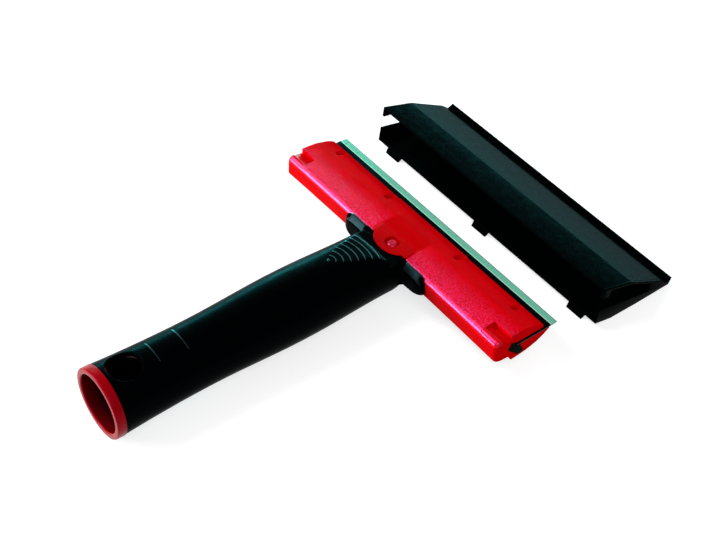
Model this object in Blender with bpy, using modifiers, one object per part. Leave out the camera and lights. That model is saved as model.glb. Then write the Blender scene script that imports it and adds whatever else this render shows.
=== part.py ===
"""Window scraper: a hollow handle for a pole, a gripped blade, and a blade cover that lies in front of it.

The frame of the tool: X runs along the blade, Y from the handle's mouth to the cutting edge, Z is up, and
the blade lies in the plane z = 0, which also holds the handle's axis. Everything hangs on one empty, which
stands the whole set on z = 0 with the middle of its outline at the origin. Lengths are in metres.
"""
from math import atan2, ceil, cos, pi, radians, sin

import bmesh
import bpy
from mathutils import Matrix, Vector

SET_NAME = "window_scraper"

# General fits
CLEARANCE = 0.0003            # between pieces that are fixed to each other
SLIDING_GAP = 0.0001          # around the blade and its liner
OVERRUN = 0.002               # how far a cutter runs past what it cuts
WELD = 0.000001               # merge distance of modelled points
ROUND_STEPS = 64              # sides of a large turned shape
SMALL_STEPS = 32              # sides of a small turned shape
SMOOTH_ANGLE = radians(30)

# Blade
BLADE_LENGTH = 0.150
BLADE_EDGE_Y = 0.0853
BLADE_WIDTH = 0.0233
BLADE_THICK = 0.0005
BLADE_BEVEL = 0.0037
BLADE_EDGE_THICK = 0.00008

# Liner that holds the blade in the head: a flat lip and a bead behind it
LINER_LIP_Y = 0.0814
LINER_TOP_Z = 0.00065
LINER_BOTTOM_Z = -0.00115
BEAD_REAR_Y = 0.0569
BEAD_TOP = (0.0586, 0.0024)
BEAD_TOP_FRONT_Y = 0.0622
BEAD_BOTTOM_FRONT_Y = 0.0640
BEAD_FRONT = (0.0667, -0.0061)
BEAD_TOE = (0.0663, -0.0072)
BEAD_HEEL = (0.0636, -0.0072)
BEAD_REAR_LOW = (0.0575, -0.0014)

# Head: its section, from the back over the top to the jaws and back along the belly
HEAD_SETBACK = 0.0004         # how far the blade stands out of the head at each end
HEAD_LENGTH = BLADE_LENGTH - 2 * HEAD_SETBACK
HEAD_REAR_Y = 0.0493
HEAD_SHOULDER_Z = 0.0069
HEAD_SHOULDER_R = 0.0030
HEAD_RIDGE = (0.0583, 0.0073)
HEAD_BROW = (0.0661, 0.0068)
HEAD_SLOPE = (0.0739, 0.0046)
UPPER_JAW = (0.0775, 0.0025)
LOWER_JAW = (0.0814, -0.0016)
BELLY_FRONT = (0.0788, -0.0037)
BELLY_MIDDLE = (0.0741, -0.0063)
BELLY_REAR = (0.0684, -0.0078)
BELLY_LOW = (0.0638, -0.0084)
STEP_FRONT = (0.0600, -0.0086)
STEP_REAR = (0.0578, -0.0055)
HEAD_KEEL = (0.0522, -0.0050)
HEAD_HEEL = (0.0503, -0.0034)
HEAD_REAR_LOW_Z = -0.0014
HEAD_CORNER_R = 0.0025        # rear corners of the head in plan

# Places in the head for the cover's ends: deep in front, their floor runs out in the head's top behind
END_POCKET_LENGTH = 0.0106
END_POCKET_DEEP = (0.0581, 0.0044)
END_POCKET_OUT = (0.0524, 0.00695)
END_POCKET_REAR_Y = 0.0520

# Short grooves behind the upper jaw, whose level floor runs out in the slope
GROOVE_SHARES = (-0.4243, -0.1743, 0.1575, 0.4115)   # places along X as shares of the head's length
GROOVE_REAR_Y = 0.0709
GROOVE_HALF_WIDTH = 0.00115
GROOVE_FLOOR_Z = 0.00375

# Tongue of the head over the grip
TONGUE_RADIUS = 0.0140
TONGUE_REAR_Y = 0.0462
TONGUE_FRONT_Y = 0.0540
TONGUE_TOP_Z = 0.0077
TONGUE_THICK = 0.0022

# Tenon of the core inside the head, and the stud through both
TENON_HALF_WIDTH = 0.0090
TENON_TIP_Y = 0.0560
TENON_TOP_Z = 0.0038
TENON_BOTTOM_Z = -0.0030
TENON_ROOT_Y = 0.0240
STUD_Y = 0.0531
STUD_SHANK_R = 0.0013
STUD_DOME_R = 0.0028
STUD_DOME_HEIGHT = 0.0008
STUD_FOOT_R = 0.0025
STUD_FOOT_THICK = 0.0008
RECESS_R = 0.0034
RECESS_DEPTH = 0.0011
FOOT_RECESS_DEPTH = 0.0011

# Handle's wall, from the pole's socket out: the radii of the core and the grip follow from the socket's
SOCKET_R = 0.0119
CORE_WALL = 0.0012
GRIP_WALL = 0.00135

# Grip: radii of the waist, the bulge and both ends, and where they lie along the handle
GRIP_WAIST_R = SOCKET_R + CORE_WALL + CLEARANCE + GRIP_WALL
GRIP_REAR_R = GRIP_WAIST_R + 0.00125
GRIP_BULGE_R = GRIP_WAIST_R + 0.0014
GRIP_NECK_R = GRIP_WAIST_R + 0.00035
GRIP_FRONT_R = GRIP_NECK_R - 0.0009
GRIP_REAR_Y = -0.0940
GRIP_WAIST_Y = -0.0520
GRIP_BULGE_Y = -0.0020
GRIP_NECK_Y = 0.0420
GRIP_SHOULDER_Y = 0.0455
GRIP_FRONT_Y = 0.0470
GRIP_RINGS = 0.005            # spacing of the grip's rings along its axis

# Wings of the grip behind the head
WING_HALF_SPAN = 0.0281
WING_TIP_X = 0.0233           # where the rear face starts to curve forward to the tip
WING_FRONT_Y = 0.0490
WING_REAR_Y = 0.0470
WING_TOP_Z = 0.0073
WING_BOTTOM_Z = -0.0031
WING_TOP_CORNER_R = 0.0042
WING_LOW_CORNER_R = 0.0030
WING_ROOT_R = 0.0042          # fillet between wing and neck
WING_ROOT_X = 0.0140

# Thumb ramp cut into the grip's top: where its slope changes, and the depths there
RAMP_START_Y = 0.0140
RAMP_CREST = (0.0270, 0.0143)
RAMP_MIDDLE = (0.0340, 0.0131)
RAMP_KNEE = (0.0392, 0.0118)
RAMP_LOW = (0.0424, 0.0097)
RAMP_END_Y = 0.0449
RAMP_HALF_WIDTH = 0.0140

# Core: a hollow tube with a collar at the mouth
COLLAR_WIDTH = 0.00405
CORE_REAR_Y = GRIP_REAR_Y - COLLAR_WIDTH
COLLAR_R = GRIP_REAR_R + 0.0002
COLLAR_FACE_R = COLLAR_R - 0.0005
COLLAR_CHAMFER_Y = 0.0009
MOUTH_R = SOCKET_R + 0.00146
MOUTH_CHAMFER = 0.0006
SOCKET_END_Y = 0.0080
CORE_TAPER_Y = 0.0140
CORE_FRONT_Y = 0.0445
CORE_FRONT_R = 0.0045
HANGING_HOLE_Y = GRIP_REAR_Y + 0.0094
HANGING_HOLE_R = 0.0076
CORE_HOLE_R = 0.0070

# Cover, in the place where it sits on the head: (length, slope) of each facet from the mouth forward
COVER_WALL = 0.0012
COVER_END_WALL = 0.0014
COVER_END_GAP = 0.0015        # between the blade and each end wall
COVER_LENGTH = BLADE_LENGTH + 2 * (COVER_END_GAP + COVER_END_WALL)
COVER_MOUTH_TOP = (0.0540, 0.00935)
COVER_MOUTH_BOTTOM = (0.0560, -0.01057)
COVER_TILT = radians(12)      # how far the cover leans forward where it lies
COVER_TOP_LEGS = ((0.01843, radians(-4.7)), (0.02465, radians(-16.1)))
COVER_BOTTOM_LEGS = ((0.01028, radians(-1.5)), (0.01581, radians(10.2)), (0.0134, COVER_TILT))
FLANGE_LEGS = ((0.0056, radians(-26.5)), (0.0038, radians(37)), (0.0043, radians(-103)))
COVER_CAVITY_END_Y = 0.0910
COVER_REST_MOUTH_Y = 0.1103   # where the upper edge of the mouth lies on the table

# Notch in each end of the cover, which leaves a lip below the upper edge
NOTCH_FLOOR_Z = -0.0027
NOTCH_END_Y = 0.0880
NOTCH_LIP_WIDTH = 0.0045
NOTCH_LIP_Z = 0.0041

# Tabs under the cover's lower edge
TAB_WIDTH = 0.0096
TAB_END_DISTANCE = 0.0124     # from the cover's end to the middle of its outer tab
TAB_REST_Y = 0.1067           # where the tabs touch the table
TAB_TOE = 0.0014
TAB_ROOT = 0.0032

# Colours: (red, green, blue), roughness, metallic
RED = ((0.58, 0.0, 0.004), 0.42, 0.0)
BLACK = ((0.004, 0.005, 0.006), 0.50, 0.0)
STEEL = ((0.48, 0.62, 0.56), 0.28, 1.0)

ACROSS = Matrix(((0, 0, 1, 0), (1, 0, 0, 0), (0, 1, 0, 0), (0, 0, 0, 1)))   # outline (u, v) to (y, z)
ALONG_Y = Matrix.Rotation(-pi / 2, 4, "X")                                    # turning axis to the handle's axis


def ease(a, b, share):
    """A value that leaves a and meets b with no slope."""
    return a + (b - a) * (1 - cos(pi * share)) / 2


def grip_radius(y):
    """Outer radius of the grip: parabola to the waist, then two soft steps over the bulge to the neck."""
    if y < GRIP_WAIST_Y:
        share = (GRIP_WAIST_Y - y) / (GRIP_WAIST_Y - GRIP_REAR_Y)
        return GRIP_WAIST_R + (GRIP_REAR_R - GRIP_WAIST_R) * share ** 2
    if y < GRIP_BULGE_Y:
        return ease(GRIP_WAIST_R, GRIP_BULGE_R, (y - GRIP_WAIST_Y) / (GRIP_BULGE_Y - GRIP_WAIST_Y))
    return ease(GRIP_BULGE_R, GRIP_NECK_R, min(1, (y - GRIP_BULGE_Y) / (GRIP_NECK_Y - GRIP_BULGE_Y)))


def core_outline(gap):
    """Radius and place of the core's outer side under the grip, from the front to the collar."""
    waist = SOCKET_R + CORE_WALL
    rear = GRIP_REAR_R - GRIP_WALL - CLEARANCE
    return [(CORE_FRONT_R + gap, CORE_FRONT_Y + gap), (waist + gap, CORE_TAPER_Y),
            (waist + gap, GRIP_WAIST_Y), (rear + gap, GRIP_REAR_Y)]


def walk(start, legs):
    """Points met on a walk from start along (length, slope) legs."""
    points = [start]
    for length, slope in legs:
        y, z = points[-1]
        points.append((y + length * cos(slope), z + length * sin(slope)))
    return points


def offset(points, wall):
    """A polyline moved sideways by wall, to the left of its direction, with mitred corners."""
    out = []
    for k, point in enumerate(points):
        here = Vector(point)
        before = (here - Vector(points[k - 1])).normalized() if k else None
        after = (Vector(points[k + 1]) - here).normalized() if k + 1 < len(points) else None
        first = before or after
        second = after or before
        mitre = Vector((-first.y - second.y, first.x + second.x)).normalized()
        out.append(tuple(here + mitre * wall / mitre.dot(Vector((-second.y, second.x)))))
    return out


def cover_outline():
    """Outer section of the cover, closed across the mouth."""
    top = walk(COVER_MOUTH_TOP, COVER_TOP_LEGS)
    bottom = walk(COVER_MOUTH_BOTTOM, COVER_BOTTOM_LEGS)
    return top + walk(top[-1], FLANGE_LEGS)[1:] + bottom[::-1]


def height_at(points, y):
    """Height of a polyline at y, its last leg drawn out as far as needed."""
    for a, b in zip(points, points[1:]):
        if y <= b[0]:
            break
    return a[1] + (b[1] - a[1]) * (y - a[0]) / (b[0] - a[0])


def cavity_outline():
    """Section of the room inside the cover, run out past the mouth."""
    top = offset(walk(COVER_MOUTH_TOP, COVER_TOP_LEGS), -COVER_WALL)
    bottom = offset(walk(COVER_MOUTH_BOTTOM, COVER_BOTTOM_LEGS), COVER_WALL)
    top_end = (COVER_CAVITY_END_Y, height_at(top, COVER_CAVITY_END_Y))
    bottom_end = (COVER_CAVITY_END_Y, height_at(bottom, COVER_CAVITY_END_Y))
    mouth = COVER_MOUTH_TOP[0] - OVERRUN
    return ([(mouth, height_at(top, mouth))] + top[1:-1] + [top_end, bottom_end]
            + bottom[-2:0:-1] + [(mouth, height_at(bottom, mouth))])


def lean(point, sense):
    """A (y, z) direction turned by the cover's tilt, with sense -1 from the seated to the resting cover."""
    c, s = cos(sense * COVER_TILT), sin(sense * COVER_TILT)
    return (c * point[0] - s * point[1], s * point[0] + c * point[1])


def cover_shift():
    """How far the leaned cover moves, so that its base lies level with the collar's lowest point."""
    base = walk(COVER_MOUTH_BOTTOM, COVER_BOTTOM_LEGS)[-1]
    return (COVER_REST_MOUTH_Y - lean(COVER_MOUTH_TOP, -1)[0], -COLLAR_R - lean(base, -1)[1])


def cover_axis():
    """The point (y, z) that the cover turns about between the table and the head."""
    shift = cover_shift()
    c, s = 1 - cos(COVER_TILT), sin(COVER_TILT)
    return ((c * shift[0] + s * shift[1]) / (2 * c), (c * shift[1] - s * shift[0]) / (2 * c))


def collection(name):
    """A new collection in the scene."""
    made = bpy.data.collections.new(name)
    bpy.context.scene.collection.children.link(made)
    return made


def material(name, look):
    """A Principled material from (colour, roughness, metallic)."""
    colour, roughness, metallic = look
    made = bpy.data.materials.new(name)
    made.use_nodes = True
    shader = made.node_tree.nodes["Principled BSDF"]
    shader.inputs["Base Color"].default_value = (*colour, 1)
    shader.inputs["Roughness"].default_value = roughness
    shader.inputs["Metallic"].default_value = metallic
    made.diffuse_color = (*colour, 1)
    return made


def as_object(name, mesh, home):
    """An object that holds the mesh, linked to the collection."""
    made = bpy.data.objects.new(name, mesh)
    home.objects.link(made)
    return made


def prism(name, outline, half_depth, home, turn=Matrix()):
    """A solid over a flat outline: a filled 2D curve, made a mesh and welded."""
    curve = bpy.data.curves.new(name, "CURVE")
    curve.dimensions = "2D"
    curve.fill_mode = "BOTH"
    curve.extrude = half_depth
    curve.render_resolution_u = 0
    spline = curve.splines.new("POLY")
    spline.points.add(len(outline) - 1)
    for point, (u, v) in zip(spline.points, outline):
        point.co = (u, v, 0, 1)
    spline.use_cyclic_u = True
    source = bpy.data.objects.new(name, curve)
    home.objects.link(source)
    source.matrix_world = turn
    bpy.context.view_layer.update()
    mesh = bpy.data.meshes.new_from_object(source.evaluated_get(bpy.context.evaluated_depsgraph_get()))
    bpy.data.objects.remove(source)
    weld(mesh)
    made = as_object(name, mesh, home)
    made.matrix_world = turn
    return made


def weld(mesh):
    """Joins the points that lie on each other, and turns all faces outward."""
    work = bmesh.new()
    work.from_mesh(mesh)
    bmesh.ops.remove_doubles(work, verts=work.verts, dist=WELD)
    bmesh.ops.recalc_face_normals(work, faces=work.faces)
    work.to_mesh(mesh)
    work.free()


def turned(name, profile, steps, home, turn=Matrix()):
    """A turned shape: (radius, place) points with a Screw modifier, outer side first."""
    mesh = bpy.data.meshes.new(name)
    edges = [(k, k + 1) for k in range(len(profile) - 1)]
    mesh.from_pydata([(radius, 0, place) for radius, place in profile], edges, [])
    made = as_object(name, mesh, home)
    made.matrix_world = turn
    screw = made.modifiers.new("Turn", "SCREW")
    screw.steps = steps
    screw.render_steps = steps
    screw.use_merge_vertices = True
    screw.merge_threshold = WELD
    return made


def box(name, low, high, home):
    """A box between two corners."""
    work = bmesh.new()
    bmesh.ops.create_cube(work, size=1)
    size = Vector(high) - Vector(low)
    middle = (Vector(high) + Vector(low)) / 2
    bmesh.ops.transform(work, matrix=Matrix.Translation(middle) @ Matrix.Diagonal((*size, 1)), verts=work.verts)
    mesh = bpy.data.meshes.new(name)
    work.to_mesh(mesh)
    work.free()
    return as_object(name, mesh, home)


def upright(name, x, y, low, high, radius, home):
    """A vertical cylinder between two heights."""
    work = bmesh.new()
    bmesh.ops.create_cone(work, cap_ends=True, segments=SMALL_STEPS, radius1=radius, radius2=radius, depth=high - low)
    bmesh.ops.translate(work, vec=(x, y, (low + high) / 2), verts=work.verts)
    mesh = bpy.data.meshes.new(name)
    work.to_mesh(mesh)
    work.free()
    return as_object(name, mesh, home)


def boolean(target, tool, operation):
    """Adds an exact Boolean of the tool, which becomes a wire guide that isn't rendered."""
    tool.hide_render = True
    tool.display_type = "WIRE"
    step = target.modifiers.new(tool.name, "BOOLEAN")
    step.operation = operation
    step.solver = "EXACT"
    step.object = tool


def oval(centre, radii, start, end, steps):
    """Points on a stretch of an ellipse, both ends included."""
    angles = [start + (end - start) * k / steps for k in range(steps + 1)]
    return [(centre[0] + radii[0] * cos(a), centre[1] + radii[1] * sin(a)) for a in angles]


def arc(centre, radius, start, end, steps):
    """Points on an arc, both ends included."""
    return oval(centre, (radius, radius), start, end, steps)


def handle_core(parts, guides):
    """Red tube with a collar at the mouth, a hole to hang it by and a tenon for the head."""
    profile = [(0, CORE_FRONT_Y)] + core_outline(0)
    profile += [(COLLAR_R, GRIP_REAR_Y), (COLLAR_R, CORE_REAR_Y + COLLAR_CHAMFER_Y), (COLLAR_FACE_R, CORE_REAR_Y),
                (MOUTH_R + MOUTH_CHAMFER, CORE_REAR_Y), (MOUTH_R, CORE_REAR_Y + MOUTH_CHAMFER),
                (SOCKET_R, GRIP_WAIST_Y), (SOCKET_R, SOCKET_END_Y), (0, SOCKET_END_Y)]
    core = turned("handle_core", profile, ROUND_STEPS, parts, turn=ALONG_Y)
    tenon = box("core_tenon", (-TENON_HALF_WIDTH, TENON_ROOT_Y, TENON_BOTTOM_Z),
                (TENON_HALF_WIDTH, TENON_TIP_Y, TENON_TOP_Z), guides)
    boolean(core, tenon, "UNION")
    boolean(core, upright("core_stud_hole", 0, STUD_Y, TENON_BOTTOM_Z - OVERRUN, TENON_TOP_Z + OVERRUN,
                          STUD_SHANK_R + SLIDING_GAP, guides), "DIFFERENCE")
    boolean(core, upright("core_hanging_hole", 0, HANGING_HOLE_Y, 0, COLLAR_R + OVERRUN, CORE_HOLE_R, guides),
            "DIFFERENCE")
    return core


def wing_plan():
    """Plan of the wings: a straight front, tips that curve forward and hollow fillets to the neck."""
    tip_radii = (WING_HALF_SPAN - WING_TIP_X, WING_FRONT_Y - WING_REAR_Y)
    right = oval((WING_TIP_X, WING_FRONT_Y), tip_radii, 0, -pi / 2, 5)
    right += arc((WING_ROOT_X + WING_ROOT_R, WING_REAR_Y - WING_ROOT_R), WING_ROOT_R, pi / 2, pi, 5)
    return right + [(-x, y) for x, y in reversed(right)]


def wing_elevation():
    """Outline of both wings from the rear, with rounded tips."""
    high, low = WING_TOP_Z - WING_TOP_CORNER_R, WING_BOTTOM_Z + WING_LOW_CORNER_R
    right = arc((WING_HALF_SPAN - WING_LOW_CORNER_R, low), WING_LOW_CORNER_R, -pi / 2, 0, 5)
    right += arc((WING_HALF_SPAN - WING_TOP_CORNER_R, high), WING_TOP_CORNER_R, 0, pi / 2, 6)
    return right + [(-x, z) for x, z in reversed(right)]


def grip_sleeve(parts, guides):
    """Black soft grip over the core: round body, wings behind the head, thumb ramp and hanging hole."""
    rear = GRIP_REAR_Y + CLEARANCE
    count = ceil((GRIP_NECK_Y - rear) / GRIP_RINGS)
    outer = [(grip_radius(y), y) for y in
             [GRIP_NECK_Y + (rear - GRIP_NECK_Y) * k / count for k in range(count + 1)]]
    profile = [(0, GRIP_FRONT_Y), (GRIP_FRONT_R, GRIP_FRONT_Y), (GRIP_NECK_R, GRIP_SHOULDER_Y)] + outer + [(0, rear)]
    sleeve = turned("grip_sleeve", profile, ROUND_STEPS, parts, turn=ALONG_Y)
    wings = prism("grip_wings", wing_plan(), WING_TOP_Z + OVERRUN, guides)
    tips = prism("wing_tips", wing_elevation(), WING_FRONT_Y + OVERRUN, guides, Matrix.Rotation(pi / 2, 4, "X"))
    boolean(wings, tips, "INTERSECT")
    boolean(sleeve, wings, "UNION")
    ramp = [(RAMP_START_Y, grip_radius(RAMP_START_Y) + WELD), RAMP_CREST, RAMP_MIDDLE, RAMP_KNEE, RAMP_LOW]
    ramp += [(RAMP_END_Y, WING_TOP_Z), (WING_FRONT_Y + OVERRUN, WING_TOP_Z)]
    ramp += [(WING_FRONT_Y + OVERRUN, COLLAR_R + OVERRUN), (RAMP_START_Y, COLLAR_R + OVERRUN)]
    boolean(sleeve, prism("thumb_ramp", ramp, RAMP_HALF_WIDTH, guides, ACROSS), "DIFFERENCE")
    seat = TONGUE_TOP_Z - TONGUE_THICK - CLEARANCE
    tongue_seat = prism("tongue_seat", tongue_outline(CLEARANCE), COLLAR_R / 2, guides,
                        Matrix.Translation((0, 0, seat + COLLAR_R / 2)))
    boolean(sleeve, tongue_seat, "DIFFERENCE")
    bore = core_outline(CLEARANCE)
    bore += [(bore[-1][0], rear - OVERRUN), (0, rear - OVERRUN)]
    boolean(sleeve, turned("core_room", [(0, bore[0][1])] + bore, ROUND_STEPS, guides, turn=ALONG_Y), "DIFFERENCE")
    window = box("tenon_room", (-TENON_HALF_WIDTH - CLEARANCE, TENON_ROOT_Y, TENON_BOTTOM_Z - CLEARANCE),
                 (TENON_HALF_WIDTH + CLEARANCE, WING_FRONT_Y + OVERRUN, TENON_TOP_Z + CLEARANCE), guides)
    boolean(sleeve, window, "DIFFERENCE")
    boolean(sleeve, upright("grip_hanging_hole", 0, HANGING_HOLE_Y, 0, COLLAR_R + OVERRUN, HANGING_HOLE_R, guides),
            "DIFFERENCE")
    return sleeve


def liner_outline(gap):
    """Section of the liner, grown by gap on all sides and open to the front where it is a channel."""
    front = LINER_LIP_Y if gap == 0 else LINER_LIP_Y + OVERRUN
    return [(front, LINER_TOP_Z + gap), (BEAD_TOP_FRONT_Y, LINER_TOP_Z + gap), (BEAD_TOP[0], BEAD_TOP[1] + gap),
            (BEAD_REAR_Y - gap, 0), (BEAD_REAR_LOW[0] - gap, BEAD_REAR_LOW[1]),
            (BEAD_HEEL[0] - gap, BEAD_HEEL[1] - gap), (BEAD_TOE[0] + gap, BEAD_TOE[1] - gap),
            (BEAD_FRONT[0] + gap, BEAD_FRONT[1]), (BEAD_BOTTOM_FRONT_Y + gap, LINER_BOTTOM_Z - gap),
            (front, LINER_BOTTOM_Z - gap)]


def head_outline():
    """Section of the head."""
    centre = (HEAD_REAR_Y + HEAD_SHOULDER_R, HEAD_SHOULDER_Z - HEAD_SHOULDER_R)
    return (arc(centre, HEAD_SHOULDER_R, pi, pi / 2, 5)
            + [HEAD_RIDGE, HEAD_BROW, HEAD_SLOPE, UPPER_JAW, (UPPER_JAW[0], LOWER_JAW[1]), LOWER_JAW, BELLY_FRONT,
               BELLY_MIDDLE, BELLY_REAR, BELLY_LOW, STEP_FRONT, STEP_REAR, HEAD_KEEL, HEAD_HEEL,
               (HEAD_REAR_Y, HEAD_REAR_LOW_Z)])


def head_plan():
    """Plan of the head, with rounded rear corners."""
    half = HEAD_LENGTH / 2
    inner = half - HEAD_CORNER_R
    right = arc((inner, HEAD_REAR_Y + HEAD_CORNER_R), HEAD_CORNER_R, -pi / 2, 0, 5) + [(half, BLADE_EDGE_Y)]
    return right + [(-x, y) for x, y in reversed(right)]


def tongue_outline(gap):
    """Plan of the tongue, grown by gap."""
    return arc((0, TONGUE_REAR_Y + TONGUE_RADIUS), TONGUE_RADIUS + gap, 0, 2 * pi, 2 * SMALL_STEPS)[:-1]


def groove_plan():
    """Plan of a groove: round at the rear, and open where the slope falls below its floor."""
    rear = arc((0, GROOVE_REAR_Y + GROOVE_HALF_WIDTH), GROOVE_HALF_WIDTH, pi, 2 * pi, 8)
    return rear + [(GROOVE_HALF_WIDTH, UPPER_JAW[0]), (-GROOVE_HALF_WIDTH, UPPER_JAW[0])]


def scraper_head(parts, guides):
    """Red head: two jaws on one back, with the liner's channel, the tongue, the tenon's room and end pockets."""
    jaws = head_outline()
    jaws.remove((UPPER_JAW[0], LOWER_JAW[1]))
    head = prism("scraper_head", jaws, HEAD_LENGTH / 2, parts, ACROSS)
    boolean(head, prism("head_plan", head_plan(), GRIP_BULGE_R, guides), "INTERSECT")
    tongue = prism("head_tongue", tongue_outline(0), TONGUE_THICK / 2, guides,
                   Matrix.Translation((0, 0, TONGUE_TOP_Z - TONGUE_THICK / 2)))
    ahead = box("ahead_of_tongue", (-HEAD_LENGTH / 2, TONGUE_FRONT_Y, HEAD_REAR_LOW_Z),
                (HEAD_LENGTH / 2, LINER_LIP_Y, TONGUE_TOP_Z + OVERRUN), guides)
    boolean(tongue, ahead, "DIFFERENCE")
    boolean(head, tongue, "UNION")
    boolean(head, prism("liner_channel", liner_outline(SLIDING_GAP), HEAD_LENGTH / 2 + OVERRUN, guides, ACROSS),
            "DIFFERENCE")
    upper_front = box("ahead_of_upper_jaw", (-HEAD_LENGTH, UPPER_JAW[0], LINER_BOTTOM_Z - SLIDING_GAP),
                      (HEAD_LENGTH, LINER_LIP_Y + OVERRUN, UPPER_JAW[1] + OVERRUN), guides)
    boolean(head, upper_front, "DIFFERENCE")
    room = box("head_tenon_room", (-TENON_HALF_WIDTH - CLEARANCE, HEAD_REAR_Y - OVERRUN, TENON_BOTTOM_Z - CLEARANCE),
               (TENON_HALF_WIDTH + CLEARANCE, TENON_TIP_Y + CLEARANCE, TENON_TOP_Z + CLEARANCE), guides)
    boolean(head, room, "DIFFERENCE")
    boolean(head, upright("head_stud_hole", 0, STUD_Y, HEAD_KEEL[1] - OVERRUN, TONGUE_TOP_Z + OVERRUN,
                          STUD_SHANK_R + SLIDING_GAP, guides), "DIFFERENCE")
    boolean(head, upright("stud_recess", 0, STUD_Y, TONGUE_TOP_Z - RECESS_DEPTH, TONGUE_TOP_Z + OVERRUN, RECESS_R,
                          guides), "DIFFERENCE")
    boolean(head, upright("foot_recess", 0, STUD_Y, HEAD_KEEL[1] - OVERRUN, HEAD_KEEL[1] + FOOT_RECESS_DEPTH,
                          STUD_FOOT_R + CLEARANCE, guides), "DIFFERENCE")
    above = HEAD_RIDGE[1] + OVERRUN
    floor = [END_POCKET_DEEP, (END_POCKET_DEEP[0], above), (END_POCKET_REAR_Y, above),
             (END_POCKET_REAR_Y, height_at([END_POCKET_DEEP, END_POCKET_OUT], END_POCKET_REAR_Y))]
    for side, tag in ((-1, "left"), (1, "right")):
        middle = side * (HEAD_LENGTH + OVERRUN - END_POCKET_LENGTH) / 2
        pocket = prism("end_pocket_" + tag, floor, (END_POCKET_LENGTH + OVERRUN) / 2, guides,
                       Matrix.Translation((middle, 0, 0)) @ ACROSS)
        boolean(head, pocket, "DIFFERENCE")
    height = HEAD_BROW[1] - GROOVE_FLOOR_Z
    for k, share in enumerate(GROOVE_SHARES):
        middle = (share * HEAD_LENGTH, 0, GROOVE_FLOOR_Z + height / 2)
        groove = prism("groove_%d" % k, groove_plan(), height / 2, guides, Matrix.Translation(middle))
        boolean(head, groove, "DIFFERENCE")
    return head


def head_stud(parts):
    """Formed stud: a dome in the tongue's recess, a shank through the tenon and a foot under the head."""
    seat = TONGUE_TOP_Z - RECESS_DEPTH + SLIDING_GAP
    foot = HEAD_KEEL[1] + FOOT_RECESS_DEPTH - SLIDING_GAP
    steps = 5
    dome = [(STUD_DOME_R * sin(pi / 2 * k / steps), seat + STUD_DOME_HEIGHT * cos(pi / 2 * k / steps))
            for k in range(steps + 1)]
    dome[0] = (0, dome[0][1])
    profile = dome + [(STUD_SHANK_R, seat), (STUD_SHANK_R, foot), (STUD_FOOT_R, foot),
                      (STUD_FOOT_R, foot - STUD_FOOT_THICK), (0, foot - STUD_FOOT_THICK)]
    return turned("head_stud", profile, SMALL_STEPS, parts, turn=Matrix.Translation((0, STUD_Y, 0)))


def blade_liner(parts, guides):
    """Black liner with a slit for the blade."""
    liner = prism("blade_liner", liner_outline(0), HEAD_LENGTH / 2, parts, ACROSS)
    half = BLADE_THICK / 2 + SLIDING_GAP
    slit = box("blade_slit", (-HEAD_LENGTH, BLADE_EDGE_Y - BLADE_WIDTH - SLIDING_GAP, -half),
               (HEAD_LENGTH, BLADE_EDGE_Y, half), guides)
    boolean(liner, slit, "DIFFERENCE")
    return liner


def scraper_blade(parts):
    """Steel blade, ground from both faces to its edge."""
    rear, bevel_start = BLADE_EDGE_Y - BLADE_WIDTH, BLADE_EDGE_Y - BLADE_BEVEL
    half, edge = BLADE_THICK / 2, BLADE_EDGE_THICK / 2
    outline = [(rear, half), (bevel_start, half), (BLADE_EDGE_Y, edge), (BLADE_EDGE_Y, -edge),
               (bevel_start, -half), (rear, -half)]
    return prism("scraper_blade", outline, BLADE_LENGTH / 2, parts, ACROSS)


def tab_outline():
    """Section of a tab: from under the mouth's lower edge out to the table."""
    shift = cover_shift()
    toe = lean((TAB_REST_Y - shift[0], -COLLAR_R - shift[1]), 1)
    toe_front = lean((TAB_REST_Y + TAB_TOE - shift[0], -COLLAR_R - shift[1]), 1)
    y, z = COVER_MOUTH_BOTTOM
    return [(y, z), (y, z + COVER_WALL / 2), (y + TAB_ROOT, z + COVER_WALL / 2), (y + TAB_ROOT, z), toe_front, toe]


def notch_outline():
    """Section of the notch in the cover's ends, for the blade to come out of the closed cover."""
    roof = offset(walk(COVER_MOUTH_TOP, COVER_TOP_LEGS), -COVER_WALL)
    lip = COVER_MOUTH_TOP[0] + NOTCH_LIP_WIDTH
    mouth = COVER_MOUTH_TOP[0] - OVERRUN
    return [(mouth, NOTCH_LIP_Z), (lip, NOTCH_LIP_Z), (lip, height_at(roof, lip)), roof[1],
            (NOTCH_END_Y, height_at(roof, NOTCH_END_Y)), (NOTCH_END_Y, NOTCH_FLOOR_Z), (mouth, NOTCH_FLOOR_Z)]


def blade_cover(parts, guides):
    """Black cover: a folded shell with end walls, a flange along its nose and three tabs under its mouth."""
    cover = prism("blade_cover", cover_outline(), COVER_LENGTH / 2, parts, ACROSS)
    boolean(cover, prism("cover_cavity", cavity_outline(), COVER_LENGTH / 2 - COVER_END_WALL, guides, ACROSS),
            "DIFFERENCE")
    boolean(cover, prism("cover_notch", notch_outline(), COVER_LENGTH / 2 + OVERRUN, guides, ACROSS), "DIFFERENCE")
    outer = COVER_LENGTH / 2 - TAB_END_DISTANCE
    for k, place in enumerate((-outer, 0, outer)):
        tab = prism("cover_tab_%d" % k, tab_outline(), TAB_WIDTH / 2, guides,
                    Matrix.Translation((place, 0, 0)) @ ACROSS)
        boolean(cover, tab, "UNION")
    return cover


def hang_on(parent, children):
    """Parents objects without moving them."""
    bpy.context.view_layer.update()
    for child in children:
        world = child.matrix_world.copy()
        child.parent = parent
        child.matrix_parent_inverse = parent.matrix_world.inverted()
        child.matrix_world = world


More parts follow.
